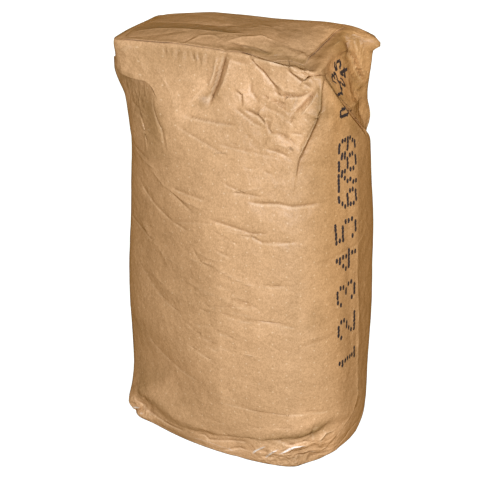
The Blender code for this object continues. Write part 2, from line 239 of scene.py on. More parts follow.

# Folds of the paper that the photograph shows, placed by pixels of its 480 x 480 frame. Each
# is: height in mm, reach in mm to the left and to the right of its line, as one goes along it, and the line.
# A ridge stands up and a valley, with a height below 0, goes down, both sharp along the line.
FOLDS = {
    # Below the front fold of the top, from left to right
    "crease behind hood edge": (-0.9, 4, 7, ((152, 93), (153, 109), (157, 121), (162, 131), (166, 152))),
    "hood corner curl": (1.0, 3, 3, ((118, 52), (126, 48), (130, 42.5))),
    "hood crinkle one": (0.8, 2, 3, ((120, 52), (125, 51), (130, 47), (132, 43))),
    "hood crinkle two": (0.45, 2, 4, ((128, 42), (137, 54), (143, 68), (150, 80))),
    "hood slant": (0.5, 5, 7, ((150, 62), (163, 78), (172, 96), (176, 116))),
    "left slant one": (0.6, 5, 6, ((150, 168), (164, 186), (182, 200), (204, 210))),
    "left slant two": (-0.9, 4, 6, ((140, 182), (154, 204), (170, 220), (190, 232))),
    "left slant three": (0.9, 5, 6, ((139, 215), (150, 236), (166, 256), (186, 272))),
    "left slant four": (-0.9, 4, 6, ((140, 262), (152, 284), (168, 303), (184, 316))),
    "left slant five": (0.9, 5, 6, ((150, 270), (170, 290), (196, 305), (222, 312))),
    "left slant six": (-0.9, 4, 6, ((144, 330), (160, 352), (180, 370), (200, 382))),
    "facet streak one": (0.7, 2, 3, ((133, 82), (139, 98), (141, 112))),
    "facet streak two": (-0.8, 2, 3, ((139, 108), (144, 128), (148, 146))),
    "facet streak three": (0.6, 2, 3, ((141, 118), (145, 132), (147, 152))),
    "small pleat one": (-0.8, 2, 2, ((164, 46), (166, 56))),
    "beside small pleat one": (0.7, 2, 2, ((168, 47), (166.5, 54))),
    "pleat a": (0.8, 2, 2, ((174, 48), (172, 60))),
    "pleat b": (-0.9, 2, 2, ((178.5, 48), (176.5, 59))),
    "pleat c": (0.8, 2, 2, ((184, 50), (181.5, 64))),
    "pleat d": (-0.8, 2, 2, ((187.5, 50), (186, 60))),
    "pleat e": (0.9, 2, 2, ((195, 51.5), (198, 63))),
    "pleat f": (0.9, 2, 2, ((204, 54), (202, 68))),
    "small pleat two": (-0.9, 2, 2, ((191, 49), (195, 62))),
    "small pleat three": (-0.8, 2, 2, ((198, 51), (200, 64))),
    "small pleat four": (-0.6, 2, 2, ((208, 54), (206, 68))),
    "light edge of dark fold": (1.6, 4, 4, ((217, 56), (215, 72), (211, 84), (208, 90))),
    "dark fold": (-3.0, 4, 7, ((226, 53), (221.5, 66), (217, 82), (211, 96), (208.5, 107))),
    "right rim of dark fold": (1.2, 4, 5, ((230, 56), (228, 70), (224, 82), (218, 94))),
    "facet left edge": (0.9, 7, 5, ((208, 84), (196, 96), (184, 111))),
    "facet lower edge": (-1.3, 6, 6, ((183, 111), (188, 116.5), (205, 120.5), (222, 123.5), (239, 125.5))),
    "soft facet border": (0.6, 6, 6, ((166, 82), (186, 80), (207, 83))),
    "rim crease": (-0.8, 2, 3, ((229, 59), (241, 63), (254, 65))),
    "rim fold": (-1.3, 3, 4, ((247.5, 56), (253, 61.5), (257, 67), (263.6, 73), (271.4, 83),
        (281.4, 95.7))),
    "rim fold ridge": (1.0, 3, 3, ((250, 56), (255.5, 62), (262, 68))),
    "middle valley": (-1.2, 4, 4, ((251.5, 79), (250.5, 91), (254, 96), (260, 104))),
    "kinked crease": (-1.2, 2, 3, ((234, 90), (241.3, 95), (241.5, 107))),
    "kinked ridge": (0.8, 2, 2, ((236, 88), (243.5, 94), (244.5, 106))),
    "long crease": (-1.2, 2, 4, ((231, 107.5), (236, 109), (246.5, 117), (252.5, 122), (266, 129))),
    "strong crease": (-1.8, 2, 5, ((241.5, 108), (249.5, 112), (258, 116), (266, 124.5), (270, 129.5))),
    "strong crease lower": (-1.3, 2, 5, ((270, 129.5), (283, 135.5), (292, 142), (298, 149))),
    "cross crease": (0.9, 3, 3, ((258.5, 115), (262, 107.5))),
    "side crease": (-0.9, 2, 3, ((258.5, 115.5), (266.5, 117.5), (274, 118.5))),
    "upper diagonal": (-1.3, 2, 4, ((257.5, 93), (268, 98.5), (275.5, 101.5), (282, 106.5), (290, 113.5))),
    "upper diagonal two": (-0.9, 2, 4, ((268, 97.5), (277, 101), (286, 105.5), (291.5, 110))),
    "between the diagonals": (0.4, 2, 3, ((262, 97), (272, 102), (284, 109), (291, 116))),
    "lower diagonal": (-0.7, 2, 3, ((258, 102), (268, 108), (280, 113), (290, 121))),
    "rim to node": (-1.1, 3, 5, ((283.6, 65.7), (290, 73), (298.6, 80), (310, 87.6), (316, 88))),
    "rim to node ridge": (0.8, 2, 3, ((288.6, 67), (294, 73), (303, 78), (312, 84))),
    "rim to node, upper": (-0.8, 2, 2, ((296, 66), (303, 72), (310, 78), (315, 85))),
    "second above the node": (0.8, 3, 4, ((262, 67), (272, 80), (284, 91), (298, 93))),
    "rim spur": (0.9, 2, 2, ((288, 66), (294, 70), (303, 74.5))),
    "facet above node": (-1.5, 4, 5, ((271, 88), (277, 94), (283.5, 96.5), (296, 97.5), (302, 96.5),
        (315, 89.5))),
    "node lower valley": (-2.0, 4, 5, ((317, 88.5), (308.5, 98), (299.5, 107), (292.5, 114))),
    "node lower ridge": (1.6, 4, 6, ((318, 91), (312, 102), (304, 112), (298, 119))),
    "below node": (-0.9, 3, 3, ((293, 114), (291.5, 119), (290, 124))),
    "short spur": (0.8, 2, 2, ((284.5, 102), (288, 97.5))),
    "small shelf": (-1.0, 2, 4, ((288, 133), (296, 134), (306, 134.5))),
    "lower shelf": (-1.3, 3, 4, ((264, 148), (276, 152), (284, 155), (292, 159))),
    "bright shelf": (1.0, 4, 4, ((272, 142), (288, 148), (300, 151))),
    "shelf spur": (-0.8, 2, 2, ((290.5, 146), (291, 153))),
    "below the strong crease": (-1.1, 2, 3, ((262.9, 120), (271.4, 133), (278.6, 134.5), (292.9, 145.7))),
    "small upright": (-0.7, 2, 2, ((248, 133.5), (248, 139))),
    "faint one": (-0.7, 2, 3, ((262, 169.5), (268, 173.5), (275, 175.5))),
    "faint two": (-0.6, 2, 3, ((243, 167.5), (258, 169))),
    # The valve end
    "front right edge": (1.4, 3, 1, ((321.5, 74), (320.5, 88), (320, 108), (317, 118), (309, 136),
        (297, 162))),
    "beside the front right edge": (-1.2, 1, 4, ((324.5, 78), (323.5, 92), (323, 108), (320.5, 119),
        (312.5, 138), (300.5, 164), (297, 180))),
    "under the tuck edge": (-2.4, 1, 5, ((325, 71), (332, 83), (339, 94.5), (350, 110), (355.5, 117.5),
        (360.5, 123.5), (366, 131))),
    "notch": (-1.5, 3, 3, ((314, 122), (318, 117), (323, 113))),
    "tuck lip": (1.0, 9, 2, ((366, 137), (354, 121.5), (343, 106), (335, 95), (327, 82))),
    "fin fold one": (-2.0, 3, 4, ((347, 33), (347, 42), (349, 53), (354.5, 59), (357, 69), (361, 76.5),
        (366, 83))),
    "fin fold two": (1.4, 3, 3, ((354.5, 28), (355.5, 38), (354.5, 42), (357, 55), (362, 70), (366, 80))),
    "fin fold three": (-1.4, 3, 4, ((347, 62), (353, 74.5), (358.5, 83.5), (361, 88))),
    "fin slant one": (1.2, 2, 3, ((351, 29), (354, 40), (359, 50), (365, 66))),
    "fin slant two": (-1.2, 2, 3, ((356, 27), (359, 38), (363, 46), (367, 60))),
    "under the curl": (-1.4, 2, 2, ((340, 55.5), (345, 53), (351, 52))),
    "fin curl": (1.2, 2, 2, ((341, 53), (346, 50), (352, 49.5))),
    "fin loop": (-1.5, 3, 3, ((366, 83), (361, 90), (356, 94), (355, 100.5))),
    "fin loop ridge": (1.2, 3, 3, ((365, 94), (357, 100.5), (350, 109))),
    "pinch": (-2.6, 4, 4, ((359, 102), (363, 114), (367, 124), (370, 132))),
    "end panel crease": (-1.0, 3, 5, ((343, 60), (348, 74), (354, 86), (355, 97))),
    # The top
    "valve ridge": (1.8, 3, 3, ((320, 71), (326, 60.5), (332, 51), (339, 41.5), (346, 33))),
    "end of the top's sheet": (-1.6, 1, 3, ((307, 57), (314, 49.5), (321, 42), (327, 36), (333, 29))),
    "rim gutter": (-2.6, 4, 3, ((250, 54), (262, 57), (275, 60.5), (290, 64), (303, 67.5), (312, 70.5))),
    "rim ridge": (1.8, 2, 4, ((240, 53.5), (254, 57.5), (270, 62.5), (291, 67.5), (314, 73))),
    # The middle of the front
    "main crease": (-1.6, 2, 5, ((246, 201.5), (262, 204), (278, 204), (293, 207), (309, 205.5),
        (321, 203))),
    "main crease start": (-0.8, 2, 4, ((225, 192), (238, 193), (250, 195), (268, 198))),
    "left crease": (-1.3, 2, 5, ((206, 219), (221, 224), (242, 231), (250, 234), (270, 234))),
    "double crease": (-1.1, 2, 4, ((237, 236), (251, 237), (262, 243), (286, 243), (301, 241.5))),
    "low crease one": (-1.0, 2, 4, ((257, 285), (272, 287), (291, 286))),
    "low crease two": (-1.0, 2, 4, ((221, 299), (247, 303), (261, 311))),
    "low crease three": (-1.2, 2, 4, ((218, 311), (225, 315), (242, 321), (265, 322), (282, 325),
        (299, 329))),
    "light crease": (0.9, 4, 4, ((290, 347), (312, 339), (335, 330))),
    "light crease shade": (-0.7, 3, 3, ((293, 350), (314, 343), (334, 335))),
    "base crease": (-1.1, 2, 4, ((258, 413.5), (270, 414), (290, 415), (311, 412.5), (333, 411))),
    "base crease hook": (0.8, 2, 2, ((285, 414), (290, 417))),
    "faint low": (-0.6, 2, 3, ((270, 427), (282, 429), (297, 427))),
    "left slanting one": (0.6, 5, 5, ((151, 235), (162, 253), (172, 272))),
    "left slanting two": (-0.7, 5, 5, ((191, 245), (200, 262), (216, 270))),
    "left upright": (-0.7, 5, 5, ((168, 190), (195, 215))),
    # The bottom
    "base corner fold": (-1.4, 2, 4, ((131, 394), (140, 403.5), (153, 413.5), (170, 425.5), (186, 431))),
    "base corner facet": (1.2, 3, 3, ((148, 392), (152, 400), (155.5, 406))),
    "base band edge": (-1.2, 2, 4, ((195, 434), (204, 436), (209, 440.6), (230, 441.5), (250, 442))),
    "base band lower edge": (-1.2, 3, 3, ((218, 450), (240, 449), (253, 452))),
    "glint one": (1.2, 2, 2, ((253, 452.5), (256, 449), (266, 445.5))),
    "glint two": (1.4, 2, 2, ((265, 457.5), (270, 452), (278, 450))),
    "glint three": (1.2, 2, 2, ((278, 454.5), (288, 451), (295, 448), (309, 446))),
    "glint four": (1.0, 2, 2, ((304, 451.5), (318, 451.5))),
    "crumple one": (-1.4, 3, 3, ((270, 441), (280, 442), (290, 447), (305, 443.5), (313, 443))),
    "crumple two": (-1.3, 3, 3, ((290, 461), (298, 455), (308, 453))),
    "dent rim": (-1.6, 4, 5, ((312, 446), (312, 436), (315, 428), (325, 425.5))),
    "dent ridge": (1.8, 4, 4, ((320, 448), (320, 439), (326, 432), (338, 428))),
    "flat fold of the tube": (1.0, 4, 3, ((357, 240), (357.5, 300), (357, 360), (357, 395), (352, 412),
        (340, 430), (327, 446), (320, 452))),
    "flat fold shadow": (-1.0, 2, 3, ((358, 402), (352, 417), (339, 434), (326, 449))),
    "base edge on the valve end": (-1.3, 3, 3, ((364, 405), (361, 417), (350, 431), (338, 447),
        (330, 452))),
}

# Folds of the cover sheet, in the same way
SHEET_FOLDS = {
    "dark valley": (-1.4, 5, 8, ((232, 42), (246, 44.6), (260, 48.2), (276, 54))),
    "ridge behind dark valley": (0.9, 6, 6, ((226, 42), (244, 38), (262, 37), (280, 42))),
    "back valley": (-1.0, 6, 6, ((148, 22.5), (176, 22), (200, 23.5), (216, 25), (240, 26))),
    "back ridge": (1.3, 6, 6, ((134, 32), (160, 30), (185, 30.5), (205, 32), (230, 35), (248, 35))),
    "middle ridge": (0.9, 5, 5, ((183, 44), (200, 37), (213, 36.5), (226, 42))),
    "short slanting one": (-0.6, 2, 3, ((183, 43), (188, 40), (191, 38))),
    "short slanting two": (0.6, 2, 3, ((214, 45), (221, 40), (227, 36.5))),
    "right wrinkle one": (-0.7, 3, 4, ((282, 43), (290, 47), (300, 50), (306, 53))),
    "right wrinkle two": (-0.6, 3, 4, ((268, 24), (282, 31), (292, 38))),
    "right ridge": (0.7, 4, 4, ((246, 30), (262, 27), (276, 27))),
    "back dent": (-0.7, 4, 5, ((236, 19), (256, 18), (276, 22))),
    "front corner fold": (0.6, 3, 3, ((296, 57), (302, 54.5), (306, 53))),
    "front valley": (-0.8, 3, 4, ((256, 54), (268, 56), (282, 55), (296, 56.5))),
    "end wrinkle": (0.6, 2, 2, ((322, 26), (327, 30), (331, 31))),
}

# Wide planes of the paper: lines of corners, each a pixel of the photograph and how many mm it rises or sinks
PLANES = {
    "left end": ((100, 5, 0), (100, 200, 0), (100, 300, 0), (100, 380, 0), (100, 480, 0)),
    "behind the top": ((105, 5, 0), (200, 5, 0), (300, 10, 0), (390, 20, 0)),
    "middle of the top": ((130, 32, 0), (200, 34, 0), (240, 42, 0), (262, 46, 0), (285, 48, 0),
        (300, 38, 0), (318, 24, 0)),
    "front fold": ((118, 42, 0), (165, 47, 0), (205, 50, 0), (225, 51.5, 0), (240, 53, 0.5),
        (266, 60.5, 1.2), (291, 67, 1.8), (314, 72.6, 2)),
    "gutter": ((246, 50.5, -1.5), (266, 56, -4), (288, 62, -5), (306, 66, -5)),
    "end of the sheet": ((330, 33, -1), (320, 43, -1.5), (308, 56, -3)),
    "valve ridge": ((345, 34, 2.5), (331, 50, 3), (323, 63, 2.5), (318, 70.5, 2)),
    "beyond the ridge": ((354, 38, 0), (343, 56, 0), (334, 70, 0), (333, 80, 0)),
    "off the left of the front": ((262, 90, 0), (262, 160, 0), (262, 300, 0), (262, 400, 0), (262, 428, 0)),
    "front right edge": ((321.5, 76, 2.5), (320.5, 88, 3.2), (320, 108, 3.6), (317, 118, 4),
        (309, 136, 4.4), (297, 162, 4.4), (292, 200, 3.5), (292, 250, 2.5), (293, 300, 1.5),
        (296, 350, 0.5), (300, 400, 0)),
    "drop beside it": ((325, 78, 0), (324, 92, 0), (323.5, 108, 0.2), (321, 119, 0.6), (313, 138, 1),
        (301, 165, 2), (297, 200, 2.6)),
    "middle of the right plane": ((329, 88, 0), (330, 105, -0.5), (325, 135, -1), (318, 165, -1.5),
        (317, 200, -1), (318, 250, -0.5), (319, 300, 0), (320, 350, 0), (320, 400, 0)),
    "far edge of the right plane": ((334, 92, 0), (345, 112, 0), (341, 135, -2), (339, 160, -3.5),
        (338, 200, -3.5), (338, 250, -2.5), (339, 300, -1), (340, 350, 0), (338, 400, 0)),
    "beside the tube's fold": ((351, 122, 0), (350, 150, -2), (350, 200, -2.6), (350, 250, -2.4),
        (350.5, 300, -1.6), (351, 350, -0.6), (351, 395, 0)),
    "the tube's fold": ((358, 132, 0), (357, 160, 1.0), (357, 200, 1.2), (357, 250, 1.6), (357, 300, 1.8),
        (357, 350, 1.6), (357, 390, 1), (353, 410, 0)),
    "right end": ((390, 25, 0), (390, 130, 0), (384, 200, 0), (384, 300, 0), (384, 400, 0), (384, 480, 0)),
    "above the base band": ((120, 380, 0), (150, 398, 0), (172, 418, 0), (195, 428, 0), (218, 436, 0),
        (240, 437.5, 0), (262, 440.5, 0), (290, 440.5, 0), (305, 438.5, 0), (317, 431, 0), (335, 417, 0),
        (352, 414, 0)),
    "upper edge of the base band": ((137, 399, -2), (150, 409, -3), (170, 424, -3), (193, 434, -4),
        (208, 440, -6.5), (228, 441.5, -7.5), (250, 442, -7.5), (275, 444.5, -7), (300, 444, -6),
        (314, 440, -5), (325, 432, -5), (340, 424, -3)),
    "lower edge of the base": ((128, 404, 0), (140, 417, 0), (157, 426, 0), (193, 443, 0), (215, 451, 0),
        (237, 458.5, 0), (275, 467, 0), (293, 469, 0), (313, 463, 0), (330, 455, 0), (345, 443, 0),
        (360, 424, 0)),
}

# Painted warm shade, redder paper on the shaded valve side and right, in the same way: lines of corners and
# how much redder the paper is painted there
PAINTED_WARM_SHADE = {
    "left": ((80, 0, 0), (120, 240, 0), (80, 490, 0)),
    "middle": ((290, 0, 0), (306, 56, 0), (314, 90, 0), (296, 150, 0), (296, 300, 0), (290, 500, 0)),
    "valve side": ((350, 0, 0.14), (338, 60, 0.17), (340, 100, 0.18), (336, 150, 0.12), (338, 250, 0.12),
        (338, 340, 0.09), (340, 420, 0.05)),
    "right": ((420, 0, 0.12), (400, 100, 0.17), (400, 240, 0.14), (400, 400, 0.08), (400, 490, 0)),
}

# Painted light and shade, paper painted paler and browner, in the same way: lines of corners and the part
# by which the paper is painted lighter there
PAINTED_LIGHT_AND_SHADE = {
    "around": ((80, 0, 0), (200, -10, 0), (400, 0, 0), (410, 240, 0), (400, 480, 0), (240, 490, 0),
        (80, 460, 0), (90, 240, 0)),
    "strip beyond the sheet": ((316, 62, -0.15), (324, 50, -0.24), (336, 38, -0.24)),
    "sheet's end": ((304, 57, 0), (318, 42, 0.06), (331, 28, 0.06)),
    "rim of the hood": ((110, 44, 0.2), (118, 33, 0.45), (137, 24, 0.25), (160, 15, 0.15), (190, 12, 0.1),
        (230, 13, 0)),
    "back of the top": ((125, 30, 0), (150, 28, -0.16), (200, 28, -0.22), (224, 32, -0.3),
        (240, 31, -0.06), (278, 28, 0), (300, 32, -0.05), (328, 29, -0.05)),
    "lit back": ((195, 22, 0.08), (216, 23, 0.16), (232, 24, 0.06)),
    "bright band of the top": ((122, 36, 0.14), (150, 37, 0.14), (185, 38, 0.18), (212, 40, 0.2),
        (234, 46, 0.24), (252, 38, 0.2), (270, 38, 0.36), (288, 42, 0.1), (304, 50, 0.08)),
    "front of the top": ((215, 45, -0.02), (248, 48, -0.28), (268, 53, -0.42), (285, 57, -0.28),
        (303, 61, -0.4), (314, 62, -0.1)),
    "front fold": ((225, 53, 0), (240, 54, 0), (266, 61, 0), (291, 68, 0), (312, 74, 0)),
    # painted shade on the hood
    "darker hood": ((118, 42, -0.02), (140, 50, -0.12), (170, 51, -0.2), (196, 54, -0.2), (212, 56, -0.14)),
    "in the dark fold": ((222, 56, -0.12), (218, 72, -0.06)),
    "edge of the hood": ((112, 62, 0), (124, 70, 0), (136, 74, 0)),
    "dark facet below the hood": ((121, 76, -0.3), (130, 79, -0.28)),
    "wedge below it": ((120, 84, 0.1), (127, 92, 0.05), (132, 110, -0.08)),
    "below the hood": ((134, 78, 0), (140, 76, -0.05), (170, 80, 0), (205, 74, 0)),
    "shaded wedge": ((138, 88, -0.16), (147, 106, -0.32), (154, 126, -0.34), (154, 152, -0.22)),
    "right of the wedge": ((158, 92, 0), (165, 112, 0), (171, 132, 0), (174, 152, 0)),
    "light edge of the facet": ((211, 72, 0.14), (211, 82, 0.16), (197, 93, 0.16), (186, 107, 0.14)),
    "facet": ((213, 90, -0.14), (203, 98, -0.26), (201, 106, -0.26), (208, 112, -0.04)),
    "left of the facet": ((196, 78, 0), (186, 92, 0), (175, 110, 0)),
    "front right edge": ((318, 80, -0.14), (318.5, 95, -0.42), (317.5, 112, -0.4), (308, 136, -0.12)),
    "before the front right edge": ((312, 90, 0.12), (308.5, 99, 0.3), (303, 113, 0.1), (298, 134, 0.08)),
    "in the node's valley": ((314, 80, -0.1), (308, 85, -0.08), (299, 99, -0.12), (294, 106, -0.12)),
    "below the long crease": ((252, 126, -0.08), (260, 132, -0.1), (272, 136, -0.06)),
    "left edge": ((128, 100, 0), (132, 140, 0.16), (134, 160, 0.12), (136, 210, 0.04), (134, 250, 0),
        (136, 350, -0.02), (143, 384, -0.3)),
    # a painted highlight on the crumpled paper
    "lighter crumpled paper": ((235, 75, 0.08), (250, 100, 0.12), (275, 100, 0.08), (302, 98, 0.1),
        (297, 130, 0.1), (289, 150, 0.12), (262, 170, 0)),
    "left of the middle": ((175, 170, 0), (180, 225, 0.04), (208, 260, 0.05), (200, 300, -0.02),
        (160, 335, 0.06), (180, 370, 0.1), (205, 395, 0.05)),
    "right of the front": ((300, 170, -0.08), (300, 250, -0.04), (300, 330, -0.02), (300, 400, 0)),
    "right plane": ((312, 145, -0.1), (318, 170, -0.2), (322, 230, -0.12), (322, 290, -0.04),
        (322, 350, 0)),
    "valve side": ((352, 140, -0.04), (350, 250, -0.03), (350, 330, 0.02), (349, 380, 0.1),
        (340, 412, 0.04)),
    "tube's side": ((362, 140, -0.03), (362, 250, -0.03), (362, 330, -0.02), (360, 385, -0.02)),
    "end panel": ((343, 34, -0.42), (345, 48, -0.46), (347.5, 62, -0.42), (351, 74, -0.2)),
    "lit end": ((332, 68, 0.4), (343, 84, 0.36), (354, 98, 0.12)),
    "under the tuck": ((326, 76, -0.15), (332, 85, -0.52), (339, 96, -0.48), (351, 108, -0.16),
        (362, 122, 0.05)),
    "on the flap": ((323, 80, 0.02), (331, 96, 0.04), (343, 115, -0.06), (353, 128, -0.32)),
    "rim of the valve end": ((331, 36, 0.04), (340, 24, 0.22), (354, 27, 0.15), (368, 34, 0.12),
        (378, 40, -0.3)),
    "fin": ((369, 42, -0.2), (362, 40, -0.34), (356, 48, -0.12), (357, 60, -0.06), (360, 74, -0.25),
        (360, 88, -0.5), (360, 98, -0.1)),
    "edge of the fin": ((368, 50, -0.2), (368.5, 70, 0.05), (367.5, 86, -0.25), (366.5, 100, -0.1),
        (368, 116, -0.1)),
    "above the left corner": ((138, 394, -0.16), (163, 406, -0.14), (188, 404, -0.08)),
    "above the light crease": ((262, 330, 0.06), (278, 332, 0.02), (294, 330, -0.1), (308, 326, -0.16),
        (322, 322, -0.1)),
    "light crease": ((292, 346, 0), (313, 338, 0.02), (334, 330, 0.02)),
    "above the base": ((150, 395, 0), (195, 422, 0), (240, 430, 0.04), (272, 431, 0.12), (292, 431, 0.26),
        (308, 427, 0.32), (320, 418, 0.16), (338, 412, 0.1)),
    # the paper along the base is painted paler
    "paler base": ((134, 400, 0.2), (152, 414, 0.12), (180, 432, 0), (205, 441, 0.2), (238, 449, 0.34),
        (270, 455, 0.36), (300, 450, 0.48), (322, 445, 0.7), (340, 430, 0.35)),
    "dark band above it": ((236, 438, -0.04), (256, 441, -0.16), (290, 442, -0.4), (310, 438, -0.5),
        (320, 430, -0.42), (326, 424, -0.1)),
    "under the point": ((286, 462, 0.15), (304, 458, 0), (316, 455, 0.2)),
}

# Fine faceted crumpling: middle, radius and height in mm of the places where the paper is crumpled most
CRUMPLED = (
    ((0.070, -0.070, 0.420), 0.075, 0.7),
    ((0.020, -0.070, 0.440), 0.060, 0.4),
    ((0.095, -0.060, 0.012), 0.050, 2.2),
    ((0.110, 0.050, 0.430), 0.060, 1.0),
    ((-0.120, -0.045, 0.012), 0.040, 1.2),
    ((-0.115, 0.055, 0.450), 0.060, 1.4),
    ((-0.110, -0.050, 0.430), 0.050, 0.8),
    ((0.000, 0.060, 0.020), 0.100, 1.2),
    ((-0.115, 0.050, 0.020), 0.050, 1.6),
)
CRUMPLE_ALL = 0.00025           # height of the crumpling everywhere else
COARSE_CRUMPLE = 0.024          # size of its facets, and of the finer ones on them
FINE_CRUMPLE = 0.010
FINE_SHARE = 0.45               # how high the finer ones are beside the others
NET_START, NET_HEIGHT = 0.04, 0.6   # the net of facets starts this far below the base and is this tall
NET_OVERLAP = 0.1               # and goes on past both ends, to close round the tube
NET_LIFT = 0.001                # its corners rise and sink by up to this while it is measured
WAVE_HEIGHT = 0.0012            # soft waves that the sand gives the paper, and how many to the metre
WAVES = 14.0

# The flat facets between the folds
FOLD_END = 0.3                  # part of a fold's height that is left at its ends
FACET_PIXELS = 11               # spacing of the loose corners of the facets, in pixels of the photograph
FACET_CLEAR = 8                 # they stay this many pixels off the corners of the traced folds
FACET_LOOSE = 0.22              # and rise or sink by up to this, in mm
FACET_SHARE = 1.2               # part of a fold's height that its facets take

# The folds' lines
LINE_SHARE = 0.35               # part of a fold's height that falls off steeply from its line
LINE_FALLS = ((0.35, 0.4), (0.65, 1.1))     # parts of that, and how many reaches each falls off over
LINE_FADE = 0.35                # part of its length that it fades over at its ends
LINE_REACH = 0.012              # and the most that it fades over, and marks the paper beside it
LINE_MARK = (0.005, 0.002)      # its painted shade and highlights fade between these distances

# Small creases at random: how many, azimuths and heights they lie between, and their depth in mm
SCATTERED = (
    (22, (125, 235), (0.06, 0.44), 1.3),
    (10, (240, 295), (0.06, 0.42), 1.2),
    (8, (70, 110), (0.06, 0.32), 0.9),
    (46, (-22, 34), (0.05, 0.40), 1.1),
    (10, (150, 210), (0.36, 0.45), 1.5),
)
CREASE_LENGTH = (0.02, 0.07)
CREASE_SLOPE, CREASE_BEND = 0.35, 0.3
CREASE_SHALLOW = 0.4            # the shallowest are this part of the deepest
CREASE_REACH = (0.002, 0.004)

# Painted glints on the folds of the base, as pale streaks: width in mm, how pale, and the line in the
# photograph's pixels
PAINTED_GLINTS = {
    "one": (1.3, 1.0, ((252, 454), (256, 450), (266, 446))),
    "two": (1.5, 0.9, ((265, 458), (272, 452), (279, 449.5))),
    "three": (1.7, 1.0, ((278, 455), (288, 450), (296, 447.5), (309, 446))),
    "four": (1.2, 0.8, ((304, 452), (316, 451.5))),
    "five": (1.5, 0.8, ((132, 408), (139, 408))),
    "six": (1.5, 0.8, ((136, 411), (143, 414))),
    "seven": (1.0, 0.35, ((256, 458), (240, 454), (220, 447), (196, 439), (175, 430))),
}
NO_GLINT = -2.0
GLINT_EDGE = 1.5                 # how steeply a streak ends at its sides
GLINT_TAPER = 0.3                # part of its length that it tapers over

# The camera sees the paper that faces it by this much, as a cosine: not at all, and wholly
SEEN = (0.05, 0.3)
SAME_SIDE = 0.1                 # and a fold marks the paper that faces as its own does by more than this


def smooth(edge0, edge1, x):
    """0 at edge0 and 1 at edge1, with a soft step between."""
    t = np.clip((x - edge0) / (edge1 - edge0), 0.0, 1.0)
    return t * t * (3.0 - 2.0 * t)


def section_slopes():
    """How fast the sections' values change at each section, from its neighbours."""
    table = np.array(SECTIONS)
    before = table[[0, *range(len(table) - 1)]]
    after = table[[*range(1, len(table)), len(table) - 1]]
    return (after - before) / (after[:, :1] - before[:, :1])


def sections(part):
    """Reaches, deepest place, half depth, squareness left, front right and back right, and setback."""
    table, slopes = np.array(SECTIONS), section_slopes()
    i = np.clip(np.searchsorted(table[:, 0], part, side="right") - 1, 0, len(table) - 2)
    low, high = table[i], table[i + 1]
    span = high[..., :1] - low[..., :1]
    t = (part[..., None] - low[..., :1]) / span
    values = ((1 + 2 * t) * (1 - t) ** 2 * low + t * (1 - t) ** 2 * span * slopes[i]
              + t * t * (3 - 2 * t) * high - t * t * (1 - t) * span * slopes[i + 1])
    left, right, middle, depth, *squareness, back = np.moveaxis(values[..., 1:], -1, 0)
    return left, right, middle, depth / 2, *squareness, back


def from_left_corner(u, v):
    """Distance from the nearest left corner of the top: positive along the sides, negative on the end."""
    return (u + 1) * (TOP_REACH + HOOD_CORNER) - (1 - abs(v)) * (TOP_DEPTH / 2 + HOOD_CORNER)


def edge_below(u, v):
    """How far below the top the edge row runs: the hood's edge on the left, the tuck's on the right."""
    across = from_left_corner(u, v)
    hood = HOOD_DEPTH + HOOD_SAG * smooth(-0.010, 0.020, across)
    hood = hood + HOOD_SLANT * smooth(0.027, 0.068, across) ** 1.2
    tuck = np.maximum(TUCK_FALL * (v + 1) - TUCK_START, TUCK_LEAST)
    other = EDGE_LEVEL + (tuck - EDGE_LEVEL) * smooth(0.5, 1.0, u)
    return other + (hood - other) * smooth(0.1, -0.4, u)


